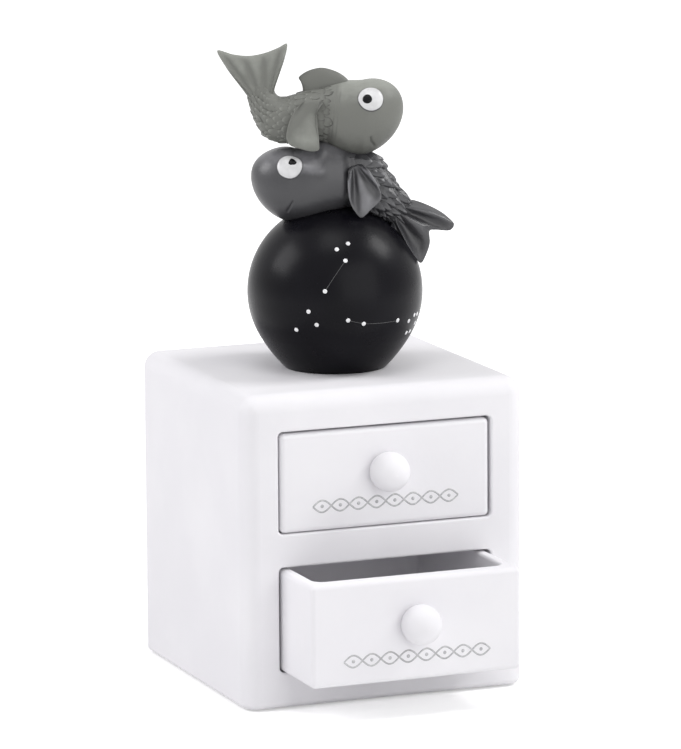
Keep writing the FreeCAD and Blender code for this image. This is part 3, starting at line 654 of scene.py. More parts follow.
@dataclass(frozen=True)
class Figure:
    """Frame of the fish: the globe's centre, its radius in millimetres and the turn to the left.

    The fish lie a little to the right of that centre and lower, by lean. Seen in the photograph, what
    stands nearer by one millimetre falls by view_slope.
    """

    centre: Vector
    radius: float
    turn: float = 21.6
    lean: Point2 = (0.35, -0.25)
    view_slope: float = 0.14

    @classmethod
    def on_globe(cls) -> "Figure":
        """Reads the globe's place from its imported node."""
        low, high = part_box("globe")
        radius = (high.x - low.x) / 2
        centre = Vector(((low.x + high.x) / 2, (low.y + high.y) / 2, high.z - radius))
        return cls(centre, radius / MM)

    def place(self, points: np.ndarray) -> np.ndarray:
        """Turns figure millimetres into metres of the part."""
        angle = math.radians(self.turn)
        u, v, w = np.moveaxis(np.asarray(points, float) + (self.lean[0], 0.0, self.lean[1]), -1, 0)
        return np.stack([(u * math.cos(angle) + v * math.sin(angle)) * MM + self.centre.x,
                         (v * math.cos(angle) - u * math.sin(angle)) * MM + self.centre.y,
                         w * MM + self.centre.z], -1)


@dataclass(frozen=True)
class Rib:
    """One cross-section of a fish: top and bottom of its outline and its half width."""

    top: Point2
    bottom: Point2
    half_width: float


@dataclass(frozen=True)
class Scales:
    """Rows of overlapping scales round a trunk, in millimetres and degrees.

    A scale narrows towards its free end by point, and its sides fall away from a middle ridge by
    keel. Its paint is at tone in the middle and grows lighter towards the free end by its highlight
    and wear share, a painted highlight with rubbed wear. Where the scales face down, its painted
    shade share makes them darker. First and last are shares of the body's length.
    """

    rows: int
    columns: int
    first: float
    last: float
    length: float
    height: float
    lift: float
    uneven: float
    overlap: float
    tip_highlight_and_wear: float
    fade_out: float = 0.75
    point: float = 0.2
    keel: float = 0.15
    tone: float = 0.48
    painted_shade: float = 0.0
    corners: int = 20
    SPOT = "spot"
    # Reach and level of a scale's rings, from near its middle to the foot of its skirt
    RINGS = ((0.35, 0.95), (0.65, 0.8), (0.88, 0.5), (1.0, 0.0), (0.98, -1.4))
    # Paint left on a scale's edge away from its free end, and at the foot of its skirt, as painted
    # shade where the scales overlap and between them
    EDGE_SHADE, SKIRT_SHADE = 0.3, 0.2
    # How far a scale strays from its place, rolls, turns and grows at most, as shares of uneven
    STRAY, ROLL, TURN, GROWTH = 0.3, 0.12, 0.35, 0.4
    # Where the scales rise behind the head and fade towards the tail, and the size that they keep
    RISE, FADE, LEAST = (-0.04, 0.16), (0.72, 1.04), 0.65
    # Upward part of the normal below which the painted shade begins
    SHADE_START = 0.35

    def shape(self) -> bpy.types.Mesh:
        """Makes one scale of unit size: a low leaf with a skirt, its free end towards +X."""
        turn = np.arange(self.corners) * 2 * math.pi / self.corners
        ahead = np.clip(np.cos(turn), 0.0, 1.0)
        slim = 1.0 - self.point * ahead
        ridge = 1.0 - self.keel * np.abs(np.sin(turn))
        points = [np.array([[0.0, 0.0, 1.0]])]
        relief = [np.array([self.tone])]
        for reach, level in self.RINGS:
            points.append(np.stack([reach * np.cos(turn), reach * np.sin(turn) * slim,
                                    level * ridge if level > 0.0 else np.full(self.corners, level)], -1))
            # Painted highlight with rubbed wear towards the free end; painted shade on the far edge and
            # skirt
            worn = self.tone + self.tip_highlight_and_wear * reach * np.cos(turn)
            if level <= 0.0:
                worn = worn * (self.EDGE_SHADE + (1.0 - self.EDGE_SHADE) * ahead)
                worn = worn * (1.0 if level == 0.0 else self.SKIRT_SHADE)
            relief.append(worn)
        faces: Faces = []
        starts = [1 + ring * self.corners for ring in range(len(self.RINGS))]
        for corner in range(self.corners):
            after = (corner + 1) % self.corners
            faces.append((0, 1 + corner, 1 + after))
            for inner, outer in zip(starts, starts[1:]):
                faces.append((inner + corner, outer + corner, outer + after, inner + after))
        faces.append(tuple(starts[-1] + corner for corner in range(self.corners)))
        return new_mesh("scale", np.vstack(points), faces, relief=np.concatenate(relief))

    def grow(self, trunk: bpy.types.Mesh, finish: bpy.types.Material, name: str) -> bpy.types.Mesh:
        """Lays the scales over a trunk.

        Args:
            trunk: mesh with a UV map round and along it, and its tailward and girth attributes.
            finish: material of the scales.
            name: name of the result.

        Returns:
            All scales as one mesh.
        """
        unit = bpy.data.objects.new(f"{name}_unit", self.shape())
        tree = GeometryTree(f"{name}_rows", Unit=unit, Rows=self.rows, Columns=self.columns,
                            First=self.first, Last=self.last, Length=self.length * MM,
                            Height=self.height * MM, Lift=math.radians(self.lift), Uneven=self.uneven,
                            Overlap=self.overlap, Fade_Out=self.fade_out, Seed=SEED, Material=finish)
        given = tree.given
        number, vector = "FLOAT", "FLOAT_VECTOR"

        def chance(share: float, lane: int) -> Sock:
            """Random number within plus or minus a share of the unevenness."""
            return tree.random(given("Uneven") * share, lane)

        def named(attribute: str, kind: str) -> Sock:
            """Reads an attribute by its name."""
            return tree.node("GeometryNodeInputNamedAttribute", {"data_type": kind}, {"Name": attribute})

        def read(value: Sock, kind: str) -> Sock:
            """Reads a value of the trunk's surface at the scale's place."""
            return tree.node("GeometryNodeSampleUVSurface", {"data_type": kind},
                             {"Mesh": given("Geometry"), "Value": value, 2: named("UVMap", vector),
                              3: named(self.SPOT, vector)}, "Value")

        lattice = tree.node("GeometryNodeMeshGrid", None,
                            {"Size X": 1.0, "Size Y": 1.0, "Vertices X": given("Columns"),
                             "Vertices Y": given("Rows")}, "Mesh")
        spot = tree.node("GeometryNodeInputPosition")
        across = tree.part(spot, "X") + 0.5
        along = tree.part(spot, "Y") + 0.5
        odd = (along * (given("Rows") - 1.0)).rounded() % 2.0
        pitch = 1.0 / given("Columns")
        aside = odd * 0.5 + chance(self.STRAY, 1)
        round_it = (across * (1.0 - pitch) + aside * pitch).fraction()
        reach = given("Last") - given("First")
        down_it = given("First") + reach * along + chance(self.STRAY, 2) * (reach / given("Rows"))
        fade = along.ramp(*self.RISE) * (1.0 - along.ramp(*self.FADE) * given("Fade Out"))
        # The place on the trunk and the fade are kept on the lattice: later fields read the moved points.
        marked = tree.node("GeometryNodeStoreNamedAttribute", {"data_type": vector},
                           {"Geometry": lattice, "Name": self.SPOT,
                            "Value": tree.xyz(round_it, down_it, fade)})
        girth = read(named("girth", number), number)
        strength = tree.part(named(self.SPOT, vector), "Z")
        out = read(tree.node("GeometryNodeInputNormal"), vector)
        tailward = read(named("tailward", vector), vector)
        headed = tree.node("FunctionNodeAlignRotationToVector", {"axis": "X", "pivot_axis": "Z"},
                           {"Rotation": tree.upright(out), "Vector": tailward})
        tip = tree.xyz(chance(self.ROLL, 3), given("Lift") * strength * -1.0, chance(self.TURN, 4))
        tip = tree.node("FunctionNodeEulerToRotation", None, {0: tip})
        lifted = tree.node("FunctionNodeRotateRotation", {"rotation_space": "LOCAL"},
                           {"Rotation": headed, "Rotate By": tip})
        swell = (chance(self.GROWTH, 5) + 1.0) * (strength * (1.0 - self.LEAST) + self.LEAST)
        size = tree.xyz(given("Length") * 0.5 * swell,
                        girth * math.pi * pitch * given("Overlap") * swell,
                        given("Height") * swell * strength)
        laid = tree.node("GeometryNodeSetPosition", None,
                         {"Geometry": marked, "Position": read(spot, vector)})
        source = tree.node("GeometryNodeObjectInfo", None, {"Object": given("Unit")}, "Geometry")
        placed = tree.node("GeometryNodeInstanceOnPoints", None,
                           {"Points": laid, "Instance": source, "Rotation": lifted, "Scale": size})
        tree.close(placed)
        made = tree.run(trunk, name)
        made.attributes.remove(made.attributes[self.SPOT])
        bpy.data.objects.remove(unit)
        self.paint_underside_shade(made)
        return made

    def paint_underside_shade(self, made: bpy.types.Mesh) -> None:
        """Darkens the paint of finished scales where they face down, as painted shade."""
        relief = np.empty(len(made.vertices), np.float32)
        normals = np.empty(len(made.vertices) * 3, np.float32)
        paint = made.attributes[FishPaint.TONE_AND_SHADING].data
        paint.foreach_get("value", relief)
        made.vertices.foreach_get("normal", normals)
        facing_down = np.clip(self.SHADE_START - normals[2::3], 0.0, 1.0)
        paint.foreach_set("value", relief - self.painted_shade * facing_down)


@dataclass(frozen=True)
class Blade:
    """A fin: rays fan from its root to its rim, swell into ribs and round off at the rim.

    Outlines are as seen in the photograph; out is how far a fin stands from the figure's middle
    plane at its root, and splay how much further at its rim.
    """

    root: Tuple[Point2, Point2]
    rim: Tuple[Point2, ...]
    thick_root: float
    thick_rim: float
    ribs: float
    rib_height: float
    out: float = 0.0
    splay: float = 0.0
    sway: float = 0.0
    tone: float = 0.64
    # How much lighter the paint is on a rib and darker in a groove, as painted light and shade, and
    # how narrow a rib is: below 1 only grooves part them
    rib_light_and_shade: float = 0.3
    narrow: float = 1.0
    fan: int = 121
    deep: int = 30
    # How much lighter the paint is along the rim, as a painted highlight and wear
    RIM_HIGHLIGHT = 0.25

    def mesh(self, figure: Figure, name: str, side: int = -1) -> bpy.types.Mesh:
        """Builds the fin.

        Args:
            figure: frame that it is drawn in.
            name: the mesh's name.
            side: -1 for the near side, 1 for the far one.

        Returns:
            The closed mesh, with its relief.
        """
        way = 0.5 - 0.5 * np.cos(np.linspace(0.0, math.pi, self.fan))
        rim = through(self.rim, way)
        first, last = np.asarray(self.root)
        root = first + way[:, None] * (last - first)
        depth = np.sin(np.linspace(0.0, math.pi / 2, self.deep))[:, None]
        flat = root[None] + depth[..., None] * (rim - root)[None]
        turns = self.ribs * (way - 0.5)
        crest = 2.0 * (0.5 + 0.5 * np.cos(2 * math.pi * turns))[None] ** self.narrow - 1.0
        # The ribs rise over the first third of the fin and sink over its last fifth.
        fade = np.clip(depth * 3.0, 0.0, 1.0) * np.clip((1.0 - depth) * 5.0, 0.0, 1.0)
        half = (self.thick_root + (self.thick_rim - self.thick_root) * depth) / 2
        # The root is oval, to grow out of the body, and the rim is rounded off.
        oval = np.clip(1.0 - np.abs(2.0 * way - 1.0)[None] ** (2.0 + 8.0 * depth), 0.0, 1.0)
        half = half * np.sqrt(np.clip(1.0 - depth ** 5, 0.0, 1.0) * oval)
        half = half + self.rib_height * crest * fade * np.sqrt(oval)
        stand = self.out + self.splay * depth + self.sway * (way[None] - 0.5) * depth
        raised = flat[..., 1] + figure.view_slope * np.abs(self.out + self.splay * depth)
        sheets = [np.stack([flat[..., 0], side * (stand + face * half), raised], -1) for face in (1, -1)]
        # Painted light and shade: lighter on the ribs, darker in the grooves, and a painted highlight along
        # the rim
        relief = np.clip(self.tone + self.rib_light_and_shade * crest * fade + self.RIM_HIGHLIGHT * depth ** 4, 0.0, 1.0)
        border = [row * self.fan for row in range(self.deep - 1, 0, -1)] + list(range(self.fan))
        border += [row * self.fan + self.fan - 1 for row in range(1, self.deep)]
        points = figure.place(np.concatenate([sheet.reshape(-1, 3) for sheet in sheets]))
        return new_mesh(name, points, shell_faces(self.deep, self.fan, border),
                        relief=np.tile(relief.ravel(), 2))


@dataclass(frozen=True)
class Eye:
    """A painted eye: white dome, brushed rim and a dark pupil that may be pulled into a corner."""

    middle: Point2
    radius: float
    pupil: Point2
    pupil_radius: float
    pupil_corners: float
    dome: float = 0.55
    lift: float = 0.05
    pupil_dome: float = 0.12
    pupil_lift: float = 0.06
    rings: int = 14
    turns: int = 48
    # How far off a ray starts, how high one starts over the skin, and how deep the rim is sunk
    FAR, PROBE, SUNK = 60.0, 4.0, 0.5
    # Roundness of the dome: 2 is a ball, more is flatter on top
    CROWN = 2.6

    def disc(self, skin: BVHTree, figure: Figure, middle: Point2, radius: float, dome: float, lift: float,
             corners: float, side: int) -> Tuple[np.ndarray, Faces, np.ndarray]:
        """Lays a domed disc on the skin.

        Args:
            skin: the head, and what already lies on it, in figure millimetres.
            figure: frame that it is drawn in.
            middle: its middle as seen in the photograph.
            radius: its radius.
            dome: height of its middle.
            lift: height of its rim.
            corners: how much it leans towards a rounded triangle.
            side: -1 for the near side, 1 for the far one.

        Returns:
            Points in figure millimetres, faces and each point's reach from 0 to 1.
        """
        sight = Vector((0.0, 1.0, -figure.view_slope)).normalized()
        start = Vector((middle[0], 0.0, middle[1])) - sight * self.FAR
        spot, normal = skin.ray_cast(start, sight)[:2]
        if normal.dot(sight) > 0.0:
            normal.negate()
        along = normal.cross(Vector((0.0, 0.0, 1.0))).normalized()
        upward = along.cross(normal).normalized() * -1.0
        points = []
        reaches = []
        for ring in range(self.rings + 1):
            reach = ring / self.rings
            for turn in range(self.turns):
                angle = 2 * math.pi * turn / self.turns
                bulge = 1.0 + corners * math.cos(3 * angle - math.pi / 2)
                offset = (along * math.cos(angle) + upward * math.sin(angle)) * (radius * reach * bulge)
                found = skin.ray_cast(spot + offset + normal * self.PROBE, -normal)[0] or spot + offset
                crown = dome * math.sqrt(max(0.0, 1.0 - reach ** self.CROWN))
                points.append(found + normal * (crown + lift))
                reaches.append(reach)
        for turn in range(self.turns):
            points.append(points[self.rings * self.turns + turn] - normal * (lift + self.SUNK))
            reaches.append(1.0)
        faces = grid_faces(self.rings + 2, self.turns, True)
        faces.append(tuple(range((self.rings + 1) * self.turns, (self.rings + 2) * self.turns)))
        spots = np.array([tuple(point) for point in points])
        spots[:, 1] *= -side
        return spots, faces, np.array(reaches)


@dataclass(frozen=True)
class Gill:
    """Edge of the smooth head: a step down to the trunk, and lines carved behind it.

    The edge runs from top to foot and bows towards the tail between them. A line is given by its
    place behind the edge, its depth and its half width.
    """

    top: Point2
    foot: Point2
    drop: float
    softness: float
    lines: Tuple[Tuple[float, float, float], ...]
    bow: float = 0.0


@dataclass(frozen=True)
class Fish:
    """One sculpted fish: head and trunk over ribs, gill, mouth, scales, fins and eyes."""

    name: str
    facing: Facing
    slot: Slot
    paint: FishPaint
    nose: Point2
    ribs: Tuple[Rib, ...]
    gill: Gill
    mouth: Tuple[Point2, ...]
    mouth_depth: float
    fullness: float
    scales: Scales
    tail: Blade
    side_fin: Blade
    side_fin_names: Tuple[str, str]
    back_fin: Optional[Blade]
    eye: Eye
    # How far the forehead lies below a plain oval
    brow: float = 0.0
    # Raised line on the cheek, its height and its half width
    cheek: Tuple[Point2, ...] = ()
    cheek_height: float = 0.5
    cheek_width: float = 1.2
    round_count: int = 208
    cap_count: int = 56
    trunk_count: int = 230
    # Steps in which the trunk's outline is read, and how far towards the nose it is led on
    OUTLINE_STEPS = 400
    LEAD = 0.3
    # Paint of the head and the trunk; painted light from above, lighter on the back and darker under the
    # belly; a painted highlight on the cheek; and painted shade in what is cut
    HEAD_TONE, TRUNK_TONE, BACK_LIGHT, CHEEK_LIGHT, CUT_SHADE = 0.56, 0.44, 0.4, 0.2, 1.6
    # Half width of the mouth's line, and how far from the middle plane a flank begins
    MOUTH_WIDTH, FLANK = 0.2, 1.0
    # Blur of the gill's lines at their ends, and start and blur of its step, as shares of its edge
    LINE_BLUR, STEP_START, STEP_BLUR = 0.12, 0.05, 0.15
    # Near side and far side
    SIDES = (-1, 1)

    def stations(self) -> np.ndarray:
        """Cross-sections from nose to tail, as rows of top, bottom and half width."""
        rows = np.array([(*rib.top, *rib.bottom, rib.half_width) for rib in self.ribs])
        first = rows[0]
        middle = (first[:2] + first[2:4]) / 2
        ahead = np.asarray(self.nose) - middle
        lead = np.concatenate([first[:2] + ahead * self.LEAD, first[2:4] + ahead * self.LEAD, first[4:]])
        body = through(np.vstack([lead, rows]), np.linspace(0.0, 1.0, self.OUTLINE_STEPS))
        body = body[np.argmin(np.linalg.norm(body - first, axis=1)):]
        body = body[np.linspace(0, len(body) - 1, self.trunk_count).round().astype(int)]
        turn = np.linspace(math.pi / 2, 0.0, self.cap_count, endpoint=False)
        grow = np.cos(turn)[:, None]
        centre = middle + np.sin(turn)[:, None] * ahead
        half = (first[:2] - first[2:4]) / 2
        sink = self.brow * np.sin(2.0 * turn)[:, None] ** 2 * np.array([0.0, 1.0])
        cap = np.hstack([centre + grow * half - sink, centre - grow * half, grow * first[4]])
        return np.vstack([cap, body])

    def skin(self) -> Tuple[np.ndarray, np.ndarray, np.ndarray]:
        """Shapes head and trunk.

        Returns:
            Rows of points in figure millimetres, from nose to tail, and for each row its share of the
            body's length and its girth's radius in metres.
        """
        stations = self.stations()
        middles = (stations[:, :2] + stations[:, 2:4]) / 2
        halves = (stations[:, :2] - stations[:, 2:4]) / 2
        angle = np.arange(self.round_count) * 2 * math.pi / self.round_count
        cosine = np.sign(np.cos(angle)) * np.abs(np.cos(angle)) ** (2 / self.fullness)
        sine = np.sign(np.sin(angle)) * np.abs(np.sin(angle)) ** (2 / self.fullness)
        flat = middles[:, None] + cosine[None, :, None] * halves[:, None]
        side = -sine[None] * stations[:, 4][:, None]
        points = np.stack([flat[..., 0], side, flat[..., 1]], -1)
        length = np.concatenate([[0.0], np.cumsum(np.linalg.norm(np.diff(middles, axis=0), axis=1))])
        girth = np.sqrt((np.linalg.norm(halves, axis=1) ** 2 + stations[:, 4] ** 2) / 2) * MM
        return points, length / length[-1], girth

    def carve(self, points: np.ndarray, figure: Figure) -> Tuple[np.ndarray, np.ndarray]:
        """Cuts the gill and the mouth into the skin and raises the cheek's line.

        Args:
            points: rows of points round the body.
            figure: frame that they are drawn in.

        Returns:
            The carved points and their relief.
        """
        down = np.gradient(points, axis=0)
        round_it = (np.roll(points, -1, axis=1) - np.roll(points, 1, axis=1)) / 2
        normal = np.cross(down, round_it)
        normal /= np.maximum(np.linalg.norm(normal, axis=-1, keepdims=True), TINY)
        outward = points - points.mean(axis=1, keepdims=True)
        normal *= np.where((normal * outward).sum(-1, keepdims=True) < 0, -1.0, 1.0)
        across = points[..., 0]
        seen = points[..., 2] - figure.view_slope * np.abs(points[..., 1])
        gill = self.gill
        (top_u, top_w), (low_u, low_w) = gill.top, gill.foot
        share = (top_w - seen) / (top_w - low_w)
        bow = gill.bow * np.maximum(1.0 - (2.0 * share - 1.0) ** 2, -1.0)
        behind = (top_u + (low_u - top_u) * share - across) * self.facing.value - bow
        cover = 1.0 - step(behind - gill.softness, gill.softness)
        flank = np.abs(points[..., 1]) > self.FLANK
        cuts = self.mouth_depth * bell(distance_to(self.mouth, across, seen), self.MOUTH_WIDTH) * flank
        raised = bell(distance_to(self.cheek, across, seen), self.cheek_width) * flank
        # The carved lines run out at both ends of the gill's edge, and the step begins at its top.
        within = step(share, self.LINE_BLUR) * step(1.0 - share, self.LINE_BLUR)
        below = step(share + self.STEP_START, self.STEP_BLUR)
        for place, depth, width in gill.lines:
            cuts = cuts + depth * within * bell(behind - place, width)
        # Painted light and shade: the paint is lighter over the back and darker under the belly, as light
        # from above falls, darker in what is cut, and lighter on the cheek's line as a painted highlight.
        relief = self.HEAD_TONE * cover + self.TRUNK_TONE * (1.0 - cover) - self.CUT_SHADE * cuts
        relief = relief + self.BACK_LIGHT * normal[..., 2] + self.CHEEK_LIGHT * raised
        lift = -gill.drop * (1.0 - cover) * below - cuts + self.cheek_height * raised
        return points + normal * lift[..., None], np.clip(relief, 0.0, 1.0)

    def trunk_mesh(self, figure: Figure) -> Tuple[bpy.types.Mesh, BVHTree]:
        """Builds the closed body with its UV map, and a tree of it to lay eyes on."""
        points, along, girth = self.skin()
        points, relief = self.carve(points, figure)
        rows, columns = points.shape[:2]
        tip = rows * columns
        last = tip - columns
        every = np.concatenate([points.reshape(-1, 3), points[-1].mean(axis=0)[None]])
        faces = grid_faces(rows, columns, True)
        faces += [(last + column, last + (column + 1) % columns, tip) for column in range(columns)]
        tailward = np.gradient(figure.place(points), axis=0)
        tailward = np.vstack([tailward.reshape(-1, 3), tailward[-1].mean(axis=0)[None]])
        reached = np.append(np.repeat(along, columns), 1.0)
        chart: List[Point2] = []
        for face in faces:
            turns = [corner % columns for corner in face if corner < tip]
            wraps = 0 in turns and columns - 1 in turns
            for corner in face:
                turn = corner % columns
                chart.append((1.0 if wraps and turn == 0 else turn / columns, reached[corner]))
        mesh = new_mesh(f"{self.name}_body", figure.place(every), faces, chart,
                        relief=np.append(relief.ravel(), relief[-1, 0]),
                        girth=np.append(np.repeat(girth, columns), girth[-1]), tailward=tailward)
        return mesh, BVHTree.FromPolygons([Vector(point) for point in every], faces)

    def build(self, figure: Figure, eye_white: bpy.types.Material, pupil_black: bpy.types.Material) -> None:
        """Builds and dresses the whole fish.

        Args:
            figure: frame that it is drawn in.
            eye_white: finish of the eyes.
            pupil_black: finish of the pupils.
        """
        finish = self.paint.material()
        body, skin = self.trunk_mesh(figure)
        scales = self.scales.grow(body, finish, f"{self.name}_scales")

        def add(piece: str, mesh: bpy.types.Mesh, *nodes: str) -> None:
            """Puts one painted piece of the fish on the cabinet."""
            add_piece(piece, mesh, finish, Body.CABINET, self.slot, *nodes)

        add(f"{self.name}_body_sculpt", body, f"{self.name}_body")
        add(f"{self.name}_scale_rows", scales)
        add(f"{self.name}_tail_sculpt", self.tail.mesh(figure, f"{self.name}_tail"), f"{self.name}_tail_fin")
        for side, node in zip(self.SIDES, self.side_fin_names):
            add(f"{node}_sculpt", self.side_fin.mesh(figure, node, side), node)
        if self.back_fin is not None:
            fin = self.back_fin.mesh(figure, f"{self.name}_back")
            add(f"{self.name}_back_sculpt", fin, f"{self.name}_back_fin")
        self.set_eyes(figure, skin, eye_white, pupil_black)

    def set_eyes(self, figure: Figure, skin: BVHTree, white: bpy.types.Material,
                 black: bpy.types.Material) -> None:
        """Lays both eyes and their pupils on the head."""
        eye = self.eye
        whites = [eye.disc(skin, figure, eye.middle, eye.radius, eye.dome, eye.lift, 0.0, side)
                  for side in self.SIDES]
        near = BVHTree.FromPolygons([Vector(point) for point in whites[0][0]], whites[0][1])
        pupils = [eye.disc(near, figure, eye.pupil, eye.pupil_radius, eye.pupil_dome, eye.pupil_lift,
                           eye.pupil_corners, side) for side in self.SIDES]
        for name, discs, finish, slot, nodes in (
                (f"{self.name}_eye_whites", whites, white, Slot.EYE, (f"{self.name}_eyes",)),
                (f"{self.name}_pupils", pupils, black, Slot.NIGHT, ())):
            spots, faces, reaches = zip(*discs)
            mesh = new_mesh(name, figure.place(np.concatenate(spots)), twice(faces[0], len(spots[0])),
                            reach=np.concatenate(reaches))
            add_piece(name, mesh, finish, Body.CABINET, slot, *nodes)


# Painted and laid details

@dataclass(frozen=True)
class NightSky:
    """Painted stars on the globe and the fine lines that join some of them, in millimetres.

    A star is given by how far it lies to the right of the globe's centre and above it, looking down
    at the globe by sight degrees. The far side has the same stars, turned half round.
    """

    stars: Tuple[Point2, ...]
    joined: Tuple[Tuple[int, int], ...]
    sight: float = 9.5
    dot_radius: float = 0.45
    dot_height: float = 0.14
    line_radius: float = 0.055
    line_steps: int = 24
    white: BrushedPaint = BrushedPaint("star_paint", colour=(0.88, 0.88, 0.89), thin=(0.7, 0.7, 0.72))
    grey: BrushedPaint = BrushedPaint("star_line_paint", colour=(0.065, 0.065, 0.068),
                                      thin=(0.04, 0.04, 0.042))

    def chart(self, figure: Figure) -> bpy.types.Mesh:
        """Marks the stars on the globe as points, with an edge for each line."""
        tilt = math.radians(self.sight)
        right, up = np.asarray(self.stars).T
        near = np.sqrt(figure.radius ** 2 - right ** 2 - up ** 2)
        away = up * math.sin(tilt) - near * math.cos(tilt)
        high = up * math.cos(tilt) + near * math.sin(tilt)
        spots = np.concatenate([np.stack([way * right, way * away, high], -1) for way in (1.0, -1.0)])
        count = len(self.stars)
        lines = [(first + shift, last + shift) for shift in (0, count) for first, last in self.joined]
        mesh = bpy.data.meshes.new("star_chart")
        mesh.from_pydata(figure.place(spots).tolist(), lines, [])
        return mesh

    def dots(self, figure: Figure, finish: bpy.types.Material) -> bpy.types.Mesh:
        """Sets a flat drop of paint on each star.

        Args:
            figure: frame that the stars are drawn in.
            finish: their paint.

        Returns:
            All drops as one mesh.
        """
        tree = GeometryTree("star_dots", Centre=tuple(figure.centre), Radius=self.dot_radius * MM,
                            Height=self.dot_height * MM, Material=finish)
        given = tree.given
        points = tree.node("GeometryNodeMeshToPoints", None, {"Mesh": given("Geometry")})
        drops = tree.node("GeometryNodeInstanceOnPoints", None,
                          {"Points": points, "Instance": tree.ball(given("Radius")),
                           "Rotation": tree.upright(tree.from_centre()),
                           "Scale": tree.xyz(1.0, 1.0, given("Height") / given("Radius"))})
        tree.close(drops)
        return tree.run(self.chart(figure), "star_dots")

    def lines(self, figure: Figure, finish: bpy.types.Material) -> bpy.types.Mesh:
        """Draws the fine lines over the globe.

        Args:
            figure: frame that the stars are drawn in.
            finish: their paint.

        Returns:
            All lines as one mesh.
        """
        tree = GeometryTree("star_lines", Centre=tuple(figure.centre), Globe=figure.radius * MM,
                            Width=self.line_radius * MM, Steps=self.line_steps, Material=finish)
        given = tree.given
        fine = tree.resampled(tree.node("GeometryNodeMeshToCurve", None, {"Mesh": given("Geometry")}))
        globe = given("Globe")
        way = tree.vector("NORMALIZE", tree.from_centre())
        out = tree.vector("MULTIPLY", way, tree.xyz(globe, globe, globe))
        spot = tree.vector("ADD", out, given("Centre"))
        laid = tree.node("GeometryNodeSetPosition", None, {"Geometry": fine, "Position": spot})
        tree.close(tree.tube(laid, given("Width")))
        return tree.run(self.chart(figure), "star_lines")

    def build(self, figure: Figure) -> None:
        """Paints stars and lines."""
        upright = replace(figure, lean=(0.0, 0.0))
        dots = self.dots(upright, self.white.material())
        lines = self.lines(upright, self.grey.material())
        add_piece("globe_stars", dots, None, Body.CABINET, Slot.EYE)
        add_piece("globe_star_lines", lines, None, Body.CABINET, Slot.DARK_FISH)


@dataclass(frozen=True)
class WaveBand:
    """Two fine painted waves that cross, low on a drawer's front, with a dot in each loop.

    Sizes are in millimetres. Lines and dots stand proud of the front by a little of their radius.
    """

    width: float = 31.0
    waves: int = 4
    swing: float = 1.2
    rise: float = 4.9
    line_radius: float = 0.25
    dot_radius: float = 0.48
    proud: float = 0.08
    dot_proud: float = 0.18
    wave_steps: int = 24

    def mesh(self, node: str, finish: bpy.types.Material) -> bpy.types.Mesh:
        """Draws the band on the front of a packed drawer.

        Args:
            node: the drawer.
            finish: the band's paint.

        Returns:
            The waves and their dots as one mesh.
        """
        low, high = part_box(node)
        middle = ((low.x + high.x) / 2, low.y + (self.line_radius - self.proud) * MM, low.z + self.rise * MM)
        dot_middle = (middle[0], low.y + (self.dot_radius - self.dot_proud) * MM, middle[2])
        tree = GeometryTree(f"{node}_band", Middle=middle, Dot_Middle=dot_middle, Half=self.width / 2 * MM,
                            Waves=self.waves, Swing=self.swing * MM, Line=self.line_radius * MM,
                            Dot=self.dot_radius * MM, Steps=self.waves * self.wave_steps + 1,
                            Material=finish)
        given = tree.given
        run = tree.node("GeometryNodeCurvePrimitiveLine", None,
                        {"Start": tree.xyz(given("Half") * -1.0), "End": tree.xyz(given("Half"))})
        fine = tree.resampled(run)
        share = tree.node("GeometryNodeSplineParameter", output="Factor")
        level = (share * given("Waves") * (2.0 * math.pi)).sine() * given("Swing")
        pieces = []
        for way in (1.0, -1.0):
            swung = tree.node("GeometryNodeSetPosition", None,
                              {"Geometry": fine, "Offset": tree.xyz(z=level * way)})
            pieces.append(tree.shifted(tree.tube(swung, given("Line")), given("Middle")))
        # Each wave has two loops, so the dots stand half a wave apart.
        loop = given("Half") / given("Waves")
        row = tree.node("GeometryNodeMeshLine", None,
                        {"Count": given("Waves") * 2.0, "Offset": tree.xyz(loop),
                         "Start Location": tree.xyz(loop * 0.5 - given("Half"))})
        dots = tree.node("GeometryNodeInstanceOnPoints", None,
                         {"Points": row, "Instance": tree.ball(given("Dot"))})
        pieces.append(tree.shifted(dots, given("Dot Middle")))
        band = tree.node("GeometryNodeJoinGeometry")
        for piece in pieces:
            tree.feed(band.socket.node.inputs["Geometry"], piece)
        tree.close(band)
        return tree.run(bpy.data.meshes.new(f"{node}_band_base"), f"{node}_band")

    def build(self, node: str, body: Body, finish: bpy.types.Material) -> None:
        """Paints the band on a drawer."""
        add_piece(f"{node}_wave_band", self.mesh(node, finish), None, body, Slot.LIGHT_FISH)


